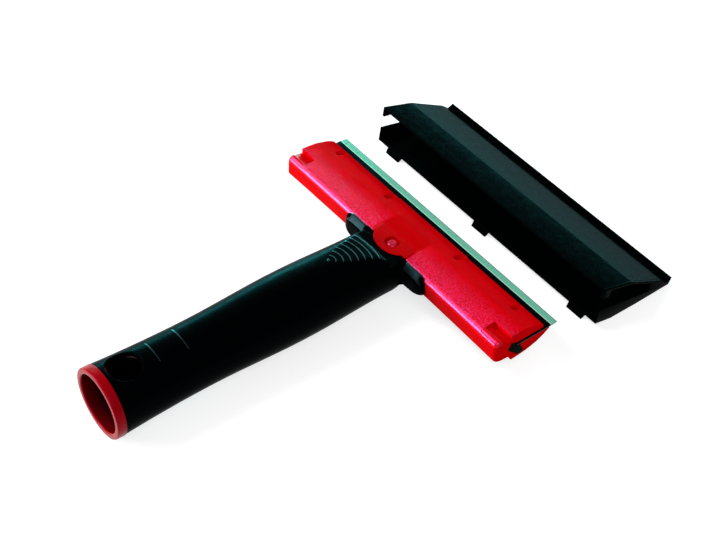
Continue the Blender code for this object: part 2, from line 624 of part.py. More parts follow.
def stand_on_origin(frame, objects):
    """Moves the whole set so that the lowest point is at z = 0 and its outline is centred on the origin."""
    bpy.context.view_layer.update()
    graph = bpy.context.evaluated_depsgraph_get()
    corners = []
    for item in objects:
        real = item.evaluated_get(graph)
        corners += [real.matrix_world @ vertex.co for vertex in real.data.vertices]
    low = [min(c[k] for c in corners) for k in range(3)]
    high = [max(c[k] for c in corners) for k in range(3)]
    frame.location = (-(low[0] + high[0]) / 2, -(low[1] + high[1]) / 2, -low[2])


def main():
    for item in list(bpy.data.objects):
        bpy.data.objects.remove(item, do_unlink=True)
    parts, guides = collection(SET_NAME), collection("cutters")
    frame = as_object("scraper_frame", None, parts)
    swing = as_object("cover_swing", None, parts)
    core = handle_core(parts, guides)
    sleeve = grip_sleeve(parts, guides)
    head = scraper_head(parts, guides)
    stud = head_stud(parts)
    liner = blade_liner(parts, guides)
    blade = scraper_blade(parts)
    cover = blade_cover(parts, guides)
    for item, name, look in ((core, "core_red", RED), (sleeve, "grip_black", BLACK), (head, "head_red", RED),
                             (stud, "stud_red", RED), (liner, "liner_black", BLACK), (blade, "blade_steel", STEEL),
                             (cover, "cover_black", BLACK)):
        item.data.materials.append(material(name, look))
        item.data.shade_smooth()
        item.data.set_sharp_from_angle(angle=SMOOTH_ANGLE)
    axis = cover_axis()
    swing.location = (0, *axis)
    closed = [cover] + [g for g in guides.objects if g.name.startswith("cover_")]
    hang_on(swing, closed)
    swing.rotation_euler = (-COVER_TILT, 0, 0)
    fixed = [core, sleeve, head, stud, liner, blade, swing] + [g for g in guides.objects if g not in closed]
    hang_on(frame, fixed)
    stand_on_origin(frame, [core, sleeve, head, stud, liner, blade, cover])
    bpy.context.view_layer.update()
    print("cover axis", [round(v, 6) for v in swing.matrix_world.translation])


main()
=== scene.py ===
"""Window scraper with its loose blade cover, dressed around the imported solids.

Sizes are in millimetres in the tool's own frame: X runs along the blade, Y from the handle's mouth to the
cutting edge, Z is up, and the blade lies in the plane z = 0, which also holds the handle's axis. Skin.finish
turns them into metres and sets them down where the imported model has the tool.
"""
import logging
from dataclasses import dataclass, field
from enum import Enum
from math import pi
from typing import Sequence, Union

import bmesh
import bpy
import numpy as np
from mathutils import Matrix, Vector


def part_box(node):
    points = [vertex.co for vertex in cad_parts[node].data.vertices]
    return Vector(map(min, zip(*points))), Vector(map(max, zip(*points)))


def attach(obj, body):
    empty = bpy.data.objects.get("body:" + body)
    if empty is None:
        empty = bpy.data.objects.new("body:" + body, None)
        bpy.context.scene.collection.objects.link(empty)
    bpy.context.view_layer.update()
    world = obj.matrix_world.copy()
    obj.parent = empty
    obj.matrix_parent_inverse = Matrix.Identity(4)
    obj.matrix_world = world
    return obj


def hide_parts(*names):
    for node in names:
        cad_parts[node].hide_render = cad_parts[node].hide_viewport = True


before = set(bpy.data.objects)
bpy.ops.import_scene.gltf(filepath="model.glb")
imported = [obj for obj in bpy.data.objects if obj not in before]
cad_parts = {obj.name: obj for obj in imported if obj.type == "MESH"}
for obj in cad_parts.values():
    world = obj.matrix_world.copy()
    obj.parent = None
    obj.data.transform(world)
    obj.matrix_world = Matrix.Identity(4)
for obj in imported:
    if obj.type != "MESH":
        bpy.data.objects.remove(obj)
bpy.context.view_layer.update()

LOG = logging.getLogger("window_scraper")
MM = 0.001
WELD = 0.000001
NO_LENGTH = 1e-9
NO_SLOPE = 1e-6
FAR = 1e3
BLADE_EDGE_Y = 85.3
BOTH_SIDES = (-1, 1)
DRIFT_LUMPS = 90
GLOSS_LUMPS = 260
GRAIN_LUMPS = 2200
Source = Union[bpy.types.NodeSocket, tuple, float]


def tool_shift() -> np.ndarray:
    """Where the tool frame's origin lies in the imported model, found from the blade's edge.

    Returns:
        The place in millimetres.
    """
    low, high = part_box("scraper_blade")
    return np.array([0.0, high.y / MM - BLADE_EDGE_Y, (low.z + high.z) / 2 / MM])


SHIFT = tool_shift()


class Body(Enum):
    """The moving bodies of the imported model."""

    SCRAPER = "scraper"
    BLADE = "blade"
    COVER = "cover"


def fade(low: float, high: float, value: np.ndarray) -> np.ndarray:
    """A smooth step: 0 below low, 1 above high, and 3t^2 - 2t^3 between them.

    Args:
        low: where the step starts.
        high: where it ends.
        value: where it is wanted.

    Returns:
        The share, the same shape as value.
    """
    share = np.clip((value - low) / (high - low), 0, 1)
    return share * share * (3 - 2 * share)


def cosine_step(share: np.ndarray) -> np.ndarray:
    """A step from 0 to 1 that starts and ends level: (1 - cos(pi t)) / 2."""
    return (1 - np.cos(pi * share)) / 2


def edge_fall(past: np.ndarray, radius: float) -> np.ndarray:
    """How far a rounded edge has fallen at a distance past its start: r - sqrt(r^2 - d^2)."""
    return radius - np.sqrt(radius ** 2 - past ** 2)


def soft_min(a: np.ndarray, b: np.ndarray, width: float) -> np.ndarray:
    """The lower of two values, rounded where they cross: -w log(e^(-a/w) + e^(-b/w)).

    Args:
        a: the first values.
        b: the second values.
        width: how far the rounding reaches.

    Returns:
        The rounded lower values.
    """
    return -width * np.logaddexp(-a / width, -b / width)


def soft_max(a: np.ndarray, b: np.ndarray, width: float) -> np.ndarray:
    """The higher of two values, with a fillet where they cross."""
    return -soft_min(-a, -b, width)


def under_lid(height: float, up: np.ndarray) -> np.ndarray:
    """Reach of a flat lid along rays from the axis: height / cos, and no limit for rays that don't rise."""
    least = 0.02
    return np.where(up > least, height / np.maximum(up, least), FAR)


def signed_area(outline: np.ndarray) -> float:
    """Area inside a closed outline, positive where it runs anticlockwise."""
    ahead = np.roll(outline, -1, axis=0)
    return float(np.sum(outline[:, 0] * ahead[:, 1] - ahead[:, 0] * outline[:, 1]) / 2)


def rounded(corners: Sequence, steps: int = 5) -> np.ndarray:
    """A closed outline whose corners are arcs that touch both sides.

    Each corner turns into points c + r (u0 sin((1-t)w) + u1 sin(tw)) / sin w, where c is the arc's centre,
    u0 and u1 point from it to the sides, w is the angle between them, and t runs from 0 to 1. An arc takes up
    less than half of each side.

    Args:
        corners: the corners, (u, v, radius) each.
        steps: pieces of each arc.

    Returns:
        The points, anticlockwise.
    """
    table = np.array(corners, float)
    points, radius = table[:, :2], table[:, 2]
    if signed_area(points) < 0:
        points, radius = points[::-1], radius[::-1]
    back = np.roll(points, 1, axis=0) - points
    on = np.roll(points, -1, axis=0) - points
    back_length = np.linalg.norm(back, axis=1)
    on_length = np.linalg.norm(on, axis=1)
    back, on = back / back_length[:, None], on / on_length[:, None]
    half = np.arccos(np.clip(np.sum(back * on, axis=1), -1, 1)) / 2
    reach = np.minimum(radius / np.tan(half), 0.49 * np.minimum(back_length, on_length))
    radius = reach * np.tan(half)
    middle = back + on
    middle /= np.maximum(np.linalg.norm(middle, axis=1), NO_LENGTH)[:, None]
    centre = points + middle * (radius / np.sin(half))[:, None]
    first = points + back * reach[:, None] - centre
    last = points + on * reach[:, None] - centre
    sweep = np.maximum(pi - 2 * half, 1e-4)[:, None]
    share = np.linspace(0, 1, steps + 1)[None, :]
    weight_first = np.sin((1 - share) * sweep) / np.sin(sweep)
    weight_last = np.sin(share * sweep) / np.sin(sweep)
    arcs = centre[:, None] + first[:, None] * weight_first[..., None] + last[:, None] * weight_last[..., None]
    return arcs.reshape(-1, 2)


def refined(outline: np.ndarray, longest: float) -> np.ndarray:
    """A closed outline with points added evenly on every side that is too long, each a + t (b - a).

    Args:
        outline: the outline's points.
        longest: the longest side that stays whole.

    Returns:
        The outline with the added points.
    """
    ahead = np.roll(outline, -1, axis=0)
    count = np.maximum(np.ceil(np.linalg.norm(ahead - outline, axis=1) / longest), 1).astype(int)
    side = np.repeat(np.arange(len(outline)), count)
    step = np.arange(count.sum()) - np.repeat(np.cumsum(count) - count, count)
    share = (step / count[side])[:, None]
    return outline[side] + share * (ahead - outline)[side]


def outward(outline: np.ndarray) -> np.ndarray:
    """Directions that point out of an anticlockwise outline, the mean of both sides' at each point.

    Args:
        outline: the outline, anticlockwise.

    Returns:
        The directions, of length 1.
    """
    side = np.roll(outline, -1, axis=0) - outline
    side /= np.maximum(np.linalg.norm(side, axis=1), NO_LENGTH)[:, None]
    normal = np.stack([side[:, 1], -side[:, 0]], axis=1)
    mean = normal + np.roll(normal, 1, axis=0)
    return mean / np.maximum(np.linalg.norm(mean, axis=1), NO_LENGTH)[:, None]


def room_inside(outline: np.ndarray) -> np.ndarray:
    """How far each point can be drawn in before the rounded corners near it cross themselves.

    A convex corner that turns by t over sides of length s has radius r = s / t. A point may go in by the least
    of 0.8 r + 0.5 d over all corners, where d is its distance from the corner.

    Args:
        outline: the outline, anticlockwise.

    Returns:
        The room at each point.
    """
    straight = 0.02
    side = np.roll(outline, -1, axis=0) - outline
    length = np.linalg.norm(side, axis=1)
    heading = np.arctan2(side[:, 1], side[:, 0])
    turn = (heading - np.roll(heading, 1) + pi) % (2 * pi) - pi
    radius = np.where(turn > straight, np.minimum(length, np.roll(length, 1)) / np.maximum(turn, straight), FAR)
    distance = np.linalg.norm(outline[:, None] - outline[None], axis=2)
    return np.min(0.8 * radius[None] + 0.5 * distance, axis=1)


def carried(outline: np.ndarray, stations: np.ndarray, inset: np.ndarray) -> np.ndarray:
    """An outline in the plane (y, z) carried along X: (x, outline - inset * outward), less where there is no room.

    Args:
        outline: the closed outline.
        stations: places along X.
        inset: how far the outline is drawn in at each place.

    Returns:
        Points, one row for each station.
    """
    most = max(float(inset.max()), WELD)
    share = np.minimum(room_inside(outline), most) / most
    flat = outline[None] - inset[:, None, None] * (outward(outline) * share[:, None])[None]
    across = np.broadcast_to(stations[:, None, None], (len(stations), len(outline), 1))
    return np.concatenate([across, flat], axis=2)


def bar(outline: np.ndarray, ends: tuple, inner: np.ndarray, radius: float, steps: int = 3) -> np.ndarray:
    """An outline carried along X between two rounded ends.

    Near an end x = end - r (1 - sin a) and the inset is r (1 - cos a), for a up to 90 degrees.

    Args:
        outline: the closed outline in the plane (y, z).
        ends: both ends along X.
        inner: stations wanted between them.
        radius: radius of the ends' edges.
        steps: stations of each rounding.

    Returns:
        Points, one row for each station.
    """
    low, high = min(ends), max(ends)
    clear = radius + 0.05
    turn = np.linspace(0, pi / 2, steps + 1)
    between = inner[(inner > low + clear) & (inner < high - clear)]
    far, near = low + radius - radius * np.sin(turn[::-1]), high - radius + radius * np.sin(turn)
    inset = radius * (1 - np.cos(turn))
    return carried(outline, np.concatenate([far, between, near]),
                   np.concatenate([inset[::-1], np.zeros(len(between)), inset]))


def turned(reach: np.ndarray, y: np.ndarray, angles: np.ndarray) -> np.ndarray:
    """Points (r sin a, y, r cos a) about the handle's axis.

    Args:
        reach: distances from the axis, one for each point or for each row.
        y: the rows' places.
        angles: the columns' angles, from straight up.

    Returns:
        The points, row by row.
    """
    across = reach * np.sin(angles)
    return np.stack([across, np.broadcast_to(y[:, None], across.shape), reach * np.cos(angles)], axis=-1)


def in_scene(name: str, data: bpy.types.ID) -> bpy.types.Object:
    """A new object in the scene, with this data.

    Args:
        name: its name.
        data: its mesh, lamp or camera.

    Returns:
        The object.
    """
    made = bpy.data.objects.new(name, data)
    bpy.context.scene.collection.objects.link(made)
    return made


@dataclass
class Skin:
    """Gathers points and faces, and makes one mesh of them.

    Attributes:
        points: blocks of points.
        faces: lists of faces, as indices into all points.
        count: points so far.
    """

    points: list = field(default_factory=list)
    faces: list = field(default_factory=list)
    count: int = 0

    def add(self, points: np.ndarray) -> np.ndarray:
        """Adds points.

        Args:
            points: an array whose last side holds x, y and z.

        Returns:
            Their indices, in the array's shape.
        """
        flat = np.asarray(points, float).reshape(-1, 3)
        index = np.arange(len(flat)) + self.count
        self.points.append(flat)
        self.count += len(flat)
        return index.reshape(np.shape(points)[:-1])

    def mesh_grid(self, grid: np.ndarray, keep: np.ndarray = None) -> None:
        """Covers a grid of indices, whose last column meets the first, with four-sided faces.

        Args:
            grid: the indices, row by row.
            keep: which faces are made, all of them if left out.
        """
        beside = np.roll(grid, -1, axis=1)
        faces = np.stack([grid[:-1], beside[:-1], beside[1:], grid[1:]], axis=-1)
        if keep is not None:
            faces = faces[keep]
        self.faces += faces.reshape(-1, 4).tolist()

    def bridge(self, first: np.ndarray, last: np.ndarray) -> None:
        """Joins two closed loops of as many points."""
        self.mesh_grid(np.stack([first, last]))

    def cap(self, loop: np.ndarray) -> None:
        """Closes a flat loop with one face."""
        self.faces.append(loop.tolist())

    def fan(self, loop: np.ndarray, tip: tuple) -> None:
        """Closes a loop with triangles that meet at a tip.

        Args:
            loop: the loop's indices.
            tip: the tip's place.
        """
        centre = int(self.add(np.array([tip]))[0])
        ahead = np.roll(loop, -1)
        self.faces += np.stack([loop, ahead, np.full(len(loop), centre)], axis=1).tolist()

    def carry(self, points: np.ndarray) -> None:
        """Covers rows of a closed outline, and closes both its ends.

        Args:
            points: the rows of points.
        """
        grid = self.add(points)
        self.mesh_grid(grid)
        self.cap(grid[0])
        self.cap(grid[-1])

    def finish(self, name: str, sharp: float = 32.0, shift: np.ndarray = None) -> bpy.types.Object:
        """Makes the object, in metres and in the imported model's frame.

        Args:
            name: the piece's name.
            sharp: the angle in degrees above which an edge stays sharp.
            shift: where the points' own origin lies, in millimetres, if not in the tool frame's.

        Returns:
            The object.
        """
        place = (np.concatenate(self.points) + (SHIFT if shift is None else shift)) * MM
        mesh = bpy.data.meshes.new(name)
        mesh.from_pydata(place.tolist(), [], self.faces)
        work = bmesh.new()
        work.from_mesh(mesh)
        bmesh.ops.remove_doubles(work, verts=work.verts, dist=WELD)
        bmesh.ops.dissolve_degenerate(work, edges=work.edges, dist=WELD)
        bmesh.ops.recalc_face_normals(work, faces=work.faces)
        work.to_mesh(mesh)
        work.free()
        mesh.shade_smooth()
        mesh.set_sharp_from_angle(angle=np.radians(sharp))
        return in_scene(name, mesh)


def place_piece(piece: bpy.types.Object, body: Body, slot: str, finish: "Finish", *stands_for: str) -> None:
    """Hangs a finished piece on its body, dresses it and hides the CAD nodes that it replaces.

    Args:
        piece: the object.
        body: the body that it moves with.
        slot: not used.
        finish: its finish.
        stands_for: CAD nodes that it replaces.
    """
    piece.data.materials.append(finish.material())
    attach(piece, body.value)
    if stands_for:
        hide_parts(*stands_for)
    LOG.info("%s: %d faces on body %s", piece.name, len(piece.data.polygons), body.value)


def new_node(tree: bpy.types.NodeTree, kind: str, **settings) -> bpy.types.Node:
    """A new node with these properties.

    Args:
        tree: the node tree.
        kind: the node's type.
        settings: its properties.

    Returns:
        The node.
    """
    made = tree.nodes.new(kind)
    for name, value in settings.items():
        setattr(made, name, value)
    return made


def feed(tree: bpy.types.NodeTree, source: Source, target: bpy.types.NodeSocket) -> None:
    """Links a socket to another one, or sets a number or a colour (red, green, blue) on it.

    Args:
        tree: the node tree.
        source: the socket, number or colour.
        target: the socket that gets it.
    """
    if isinstance(source, bpy.types.NodeSocket):
        tree.links.new(source, target)
    else:
        target.default_value = (*source, 1) if isinstance(source, tuple) else source


def maths(tree: bpy.types.NodeTree, operation: str, *terms: Source) -> bpy.types.NodeSocket:
    """One operation on sockets and numbers.

    Args:
        tree: the node tree.
        operation: its name.
        terms: the sockets and numbers.

    Returns:
        The result socket.
    """
    made = new_node(tree, "ShaderNodeMath", operation=operation)
    for term, target in zip(terms, made.inputs):
        feed(tree, term, target)
    return made.outputs[0]


class Shader:
    """A new material's node tree, with short calls for the nodes that the finishes use."""

    def __init__(self, name: str) -> None:
        """Starts a material with one Principled shader.

        Args:
            name: the material's name.
        """
        self.made = bpy.data.materials.new(name)
        self.made.use_nodes = True
        self.tree = self.made.node_tree
        self.main = self.tree.nodes["Principled BSDF"]
        self.place = self.node("ShaderNodeTexCoord").outputs["Object"]

    def node(self, kind: str, **settings) -> bpy.types.Node:
        """A new node with these properties."""
        return new_node(self.tree, kind, **settings)

    def feed(self, source: Source, target: bpy.types.NodeSocket) -> None:
        """Links a socket to another one, or sets a number or a colour on it."""
        feed(self.tree, source, target)

    def drive(self, name: str, source: Source) -> None:
        """Feeds one of the shader's own sockets."""
        self.feed(source, self.main.inputs[name])

    def mapped(self, **settings) -> bpy.types.NodeSocket:
        """The object's own coordinates, moved or stretched.

        Args:
            settings: values of the Mapping node's sockets.

        Returns:
            The vector socket.
        """
        mapping = self.node("ShaderNodeMapping")
        for name, value in settings.items():
            mapping.inputs[name].default_value = value
        self.feed(self.place, mapping.inputs["Vector"])
        return mapping.outputs["Vector"]

    def noise(self, scale: float, detail: float = 2.0, stretch: tuple = (1, 1, 1),
              rough: float = 0.5) -> bpy.types.NodeSocket:
        """Noise over the object's own coordinates.

        Args:
            scale: lumps in a metre.
            detail: octaves.
            stretch: how much finer the noise is along each axis.
            rough: share of the finer octaves.

        Returns:
            The factor socket.
        """
        made = self.node("ShaderNodeTexNoise")
        self.feed(self.mapped(Scale=stretch), made.inputs["Vector"])
        for name, value in (("Scale", scale), ("Detail", detail), ("Roughness", rough)):
            made.inputs[name].default_value = value
        return made.outputs["Fac"]

    def step(self, source: bpy.types.NodeSocket, low: float, high: float, to_low: float = 0.0,
             to_high: float = 1.0) -> bpy.types.NodeSocket:
        """Source from low..high drawn to to_low..to_high and held between them.

        Args:
            source: the value.
            low: where the step starts.
            high: where it ends.
            to_low: the result at low.
            to_high: the result at high.

        Returns:
            The result socket.
        """
        made = self.node("ShaderNodeMapRange")
        for name, value in (("From Min", low), ("From Max", high), ("To Min", to_low), ("To Max", to_high)):
            made.inputs[name].default_value = value
        self.feed(source, made.inputs["Value"])
        return made.outputs["Result"]

    def maths(self, operation: str, *terms: Source) -> bpy.types.NodeSocket:
        """One operation on sockets and numbers."""
        return maths(self.tree, operation, *terms)

    def times(self, *terms: bpy.types.NodeSocket) -> bpy.types.NodeSocket:
        """The product of two or more sockets.

        Args:
            terms: the sockets.

        Returns:
            The product socket.
        """
        product = terms[0]
        for term in terms[1:]:
            product = self.maths("MULTIPLY", product, term)
        return product

    def axis(self, name: str) -> bpy.types.NodeSocket:
        """One of the object's own coordinates.

        Args:
            name: X, Y or Z.

        Returns:
            Its socket.
        """
        split = self.node("ShaderNodeSeparateXYZ")
        self.feed(self.place, split.inputs[0])
        return split.outputs[name]

    def apart(self) -> bpy.types.NodeSocket:
        """Distance from the tool's middle plane along X."""
        return self.maths("ABSOLUTE", self.axis("X"))

    def colour(self, factor: bpy.types.NodeSocket, stops: Sequence) -> bpy.types.NodeSocket:
        """A colour ramp.

        Args:
            factor: what picks the colour.
            stops: (place, (red, green, blue)) pairs.

        Returns:
            The colour socket.
        """
        ramp = self.node("ShaderNodeValToRGB")
        while len(ramp.color_ramp.elements) < len(stops):
            ramp.color_ramp.elements.new(0.5)
        for element, (place, tint) in zip(ramp.color_ramp.elements, stops):
            element.position = place
            element.color = (*tint, 1)
        self.feed(factor, ramp.inputs["Fac"])
        return ramp.outputs["Color"]

    def blend(self, share: Source, base: Source, over: Source, kind: str = "MIX") -> bpy.types.NodeSocket:
        """A colour laid over another by a share.

        Args:
            share: how far the second colour shows.
            base: the first colour.
            over: the second colour.
            kind: how they mix.

        Returns:
            The colour socket.
        """
        both = self.node("ShaderNodeMix", data_type="RGBA", blend_type=kind)
        for name, source in (("Factor", share), ("A", base), ("B", over)):
            self.feed(source, both.inputs[name])
        return both.outputs["Result"]

    def bump(self, height: bpy.types.NodeSocket, depth: float,
             under: bpy.types.NodeSocket = None) -> bpy.types.NodeSocket:
        """Bump of a height in metres, over another one if given.

        Args:
            height: the height's socket.
            depth: what a height of 1 stands for, in metres.
            under: the bump below it.

        Returns:
            The normal socket.
        """
        made = self.node("ShaderNodeBump")
        made.inputs["Distance"].default_value = depth
        self.feed(height, made.inputs["Height"])
        if under is not None:
            self.feed(under, made.inputs["Normal"])
        return made.outputs["Normal"]


@dataclass(frozen=True)
class Finish:
    """A moulded finish of one of the set's materials.

    Attributes:
        name: the material's name.
        tint: the base colour.
        rough: the mean roughness.
        grain: depth of the surface's grain in metres.
        glint: the colour of its reflections.
        level: the strength of its reflections.
        metal: how far it is a metal.
    """

    name: str
    tint: tuple
    rough: float
    grain: float
    glint: tuple
    level: float
    metal: float = 0.0

    def shade(self, share: float) -> tuple:
        """The tint, made darker or lighter by a share."""
        return tuple(share * c for c in self.tint)

    def tone(self, made: Shader) -> bpy.types.NodeSocket:
        """Base colour: the tint, which drifts slowly to a deeper one."""
        return made.colour(made.noise(DRIFT_LUMPS, 3), [(0.35, self.shade(0.88)), (0.65, self.tint)])

    def gloss(self, made: Shader) -> bpy.types.NodeSocket:
        """Roughness: noise about its mean."""
        return made.step(made.noise(GLOSS_LUMPS, 3), 0.3, 0.7, self.rough - 0.05, self.rough + 0.06)

    def relief(self, made: Shader) -> bpy.types.NodeSocket:
        """Normal: a fine grain."""
        return made.bump(made.noise(GRAIN_LUMPS), self.grain)

    def shine(self, made: Shader) -> Source:
        """Strength of the reflections: the same all over."""
        return self.level

    def material(self) -> bpy.types.Material:
        """Makes the material at the first call, and gives the same one after that.

        Returns:
            The material.
        """
        known = bpy.data.materials.get(self.name)
        if known:
            return known
        made = Shader(self.name)
        made.drive("Base Color", self.tone(made))
        made.drive("Metallic", self.metal)
        made.drive("Roughness", self.gloss(made))
        made.drive("Normal", self.relief(made))
        made.drive("Specular Tint", self.glint)
        made.drive("Specular IOR Level", self.shine(made))
        return made.made


@dataclass(frozen=True)
class PebbledRed(Finish):
    """Red moulding of the head: pebbled wings with painted pink highlights, a smooth middle, smooth end pockets and a
    smooth front.

    A step is the two places where it starts and ends, and the values at them, which are 0 and 1 if left out.

    Attributes:
        pad: half width in metres of the smooth middle.
        pocket: places in metres along X and Y where the end pockets start and stop.
        front: place along Y in metres where the pebbles have run out.
        above: step in height where the pebbles start.
        lumps: pebbles in a metre.
        depth: depth of the pebbles in metres.
        fine: lumps in a metre of the grain on them.
        painted_glint: colour of the pink highlights painted on the pebbles' tops.
        painted_glint_at: step of the pebbles' height over which that painted highlight comes in.
        painted_glint_along: step along Y over which the painted highlights grow fewer.
        smooth: colour of the smooth middle.
        edge_along: step along Y over which the shine of the rubbed rear edge ends.
        edge_below: step in height over which that shine ends, just under the head's top.
        dim_along: step along Y of the shine on the rest of the head.
        dim_below: step in height that takes the shine from its foot.
        dim_ends: step along X that takes the shine from its ends.
    """

    pad: float = 0.0118
    pocket: tuple = (0.064, 0.02836)
    front: float = 0.043
    above: tuple = (0.0222, 0.0230)
    lumps: float = 1150.0
    depth: float = 0.0003
    fine: float = 2600.0
    # pink highlights painted on the pebbles' tops
    painted_glint: tuple = (0.68, 0.018, 0.11)
    painted_glint_at: tuple = (0.44, 0.6)
    painted_glint_along: tuple = (0.0215, 0.036, 1, 0)
    smooth: tuple = (0.44, 0.0, 0.001)
    edge_along: tuple = (0.0225, 0.0235, 1, 0)
    edge_below: tuple = (0.0229, 0.0232, 1, 0)
    dim_along: tuple = (0.0215, 0.0300, 0.05, 0.004)
    dim_below: tuple = (0.0207, 0.0220, 0.006, 1)
    dim_ends: tuple = (0.0741, 0.0745, 1, 0.05)

    def pebbles(self, made: Shader) -> bpy.types.NodeSocket:
        """Height of the pebbles, about 1 mm across."""
        return made.noise(self.lumps, 3, rough=0.65)

    def pebbled(self, made: Shader) -> bpy.types.NodeSocket:
        """Where the pebbles are: on top, away from the middle, the pockets and the front.

        Args:
            made: the material's node tree.

        Returns:
            The share socket.
        """
        away, along = made.apart(), made.axis("Y")
        side, stop = self.pocket
        wings = made.times(made.step(away, self.pad - 0.0004, self.pad + 0.0014),
                           made.step(along, self.front - 0.012, self.front, 1, 0))
        pocket = made.times(made.step(away, side - 0.0002, side), made.step(along, stop, stop + 0.0002, 1, 0))
        return made.times(wings, made.step(made.axis("Z"), *self.above), made.step(pocket, 0, 1, 1, 0))

    def tone(self, made: Shader) -> bpy.types.NodeSocket:
        """Base colour: pink highlights painted on the pebbles' tops, fewer to the front, and a deeper smooth middle.

        Args:
            made: the material's node tree.

        Returns:
            The colour socket.
        """
        along = made.axis("Y")
        # painted highlight: the pebbles' tops turn pink, fewer towards the front
        painted_glint = made.times(made.step(self.pebbles(made), *self.painted_glint_at), made.step(along, *self.painted_glint_along))
        middle = made.times(made.step(made.apart(), self.pad - 0.0004, self.pad + 0.0006, 1, 0),
                            made.step(along, self.front - 0.01, self.front, 1, 0))
        base = made.blend(made.times(painted_glint, self.pebbled(made)), super().tone(made), self.painted_glint)
        return made.blend(middle, base, self.smooth)

    def relief(self, made: Shader) -> bpy.types.NodeSocket:
        """Normal: pebbles over a fine grain."""
        height = made.times(self.pebbles(made), self.pebbled(made))
        return made.bump(height, self.depth, made.bump(made.noise(self.fine), self.grain))

    def shine(self, made: Shader) -> Source:
        """Reflections have their full strength on the rubbed rear edge, and fade to the front, foot and ends.

        Args:
            made: the material's node tree.

        Returns:
            The strength socket.
        """
        along, height = made.axis("Y"), made.axis("Z")
        low, high, start, stop = self.edge_along
        edge = made.times(made.step(along, low, high, self.level * start, self.level * stop),
                          made.step(height, *self.edge_below))
        both = made.maths("ADD", made.step(along, *self.dim_along), edge)
        return made.times(both, made.step(height, *self.dim_below), made.step(made.apart(), *self.dim_ends))


@dataclass(frozen=True)
class BoredRed(Finish):
    """Red moulding of the core, with painted shade that deepens into the bore and the hanging hole.

    Attributes:
        axis_z: height of the bore's axis in metres.
        mouth_y: place of the mouth along Y in metres.
        bore_r: radius in metres inside which the shade is painted.
        reach: how far in from the mouth the painted shade deepens, in metres.
        painted_shades: places over that reach, and shares of the tint there, which paint the shade.
    """

    axis_z: float = SHIFT[2] * MM
    mouth_y: float = (SHIFT[1] - 98.05) * MM
    bore_r: float = 0.01405
    reach: float = 0.012
    # painted shade: the tint's share at each depth into the bore
    painted_shades: tuple = ((0.05, 0.3), (0.45, 0.17), (0.75, 0.02), (1.0, 0.003))

    def tone(self, made: Shader) -> bpy.types.NodeSocket:
        """Inside the bore's radius the tint falls off with the distance from the mouth, as painted shade.

        Args:
            made: the material's node tree.

        Returns:
            The colour socket.
        """
        radius = made.node("ShaderNodeVectorMath", operation="LENGTH")
        made.feed(made.mapped(Location=(0, 0, -self.axis_z), Scale=(1, 0, 1)), radius.inputs[0])
        along = made.axis("Y")
        within = made.times(made.step(radius.outputs["Value"], self.bore_r, self.bore_r + 0.0006, 1, 0),
                            made.step(along, self.mouth_y + 0.0004, self.mouth_y + 0.001))
        depth = made.step(along, self.mouth_y, self.mouth_y + self.reach)
        # painted shade, darker the deeper into the bore and the hanging hole
        inside = made.colour(depth, [(place, self.shade(share)) for place, share in self.painted_shades])
        return made.blend(within, super().tone(made), inside)


@dataclass(frozen=True)
class GroundSteel(Finish):
    """Blade steel with grinding lines across the edge, on a dark body.

    Attributes:
        ground: place along Y in metres where the ground strip starts.
        honed: place along Y in metres where the honed line starts.
        body: dark colour of the blade's body.
        cut: near-black colour on the blade's ends, painted shade.
        ends: places along X in metres where the cut ends start.
    """

    ground: float = 0.0520
    honed: float = 0.05526
    body: tuple = (0.01, 0.014, 0.014)
    # painted shade: the blade's ends are drawn near-black
    cut: tuple = (0.001, 0.0014, 0.0014)
    ends: tuple = (0.07493, 0.07498)

    def lines(self, made: Shader) -> bpy.types.NodeSocket:
        """Grinding lines: noise drawn out along Y."""
        return made.noise(420, 4, (9, 0.25, 1), 0.7)

    def tone(self, made: Shader) -> bpy.types.NodeSocket:
        """A ramp along Y gives the dark body, a painted highlight at the strip's start and painted shade on the honed
        line, and the lines vary it.

        Args:
            made: the material's node tree.

        Returns:
            The colour socket.
        """
        # painted highlight: a pale line where the ground strip starts
        pale = tuple(min(1, c + 0.25) for c in self.shade(1.2))
        along = made.step(made.axis("Y"), self.ground - 0.0003, self.honed + 0.0001)
        # the last stop darkens the honed line as painted shade
        strip = made.colour(along, [(0.0, self.body), (0.06, self.body), (0.08, pale), (0.16, pale),
                                    (0.22, self.tint), (0.96, self.tint), (0.98, self.shade(0.25))])
        lines = made.colour(self.lines(made), [(0.3, (0.9, 0.9, 0.9)), (0.7, (1, 1, 1))])
        lined = made.blend(1.0, strip, lines, "MULTIPLY")
        # painted shade on the blade's ends
        return made.blend(made.step(made.apart(), *self.ends), lined, self.cut)

    def gloss(self, made: Shader) -> bpy.types.NodeSocket:
        """Roughness follows the grinding lines."""
        return made.step(self.lines(made), 0.3, 0.7, self.rough - 0.07, self.rough + 0.07)

    def relief(self, made: Shader) -> bpy.types.NodeSocket:
        """Normal: the grinding lines' depth."""
        return made.bump(self.lines(made), self.grain)


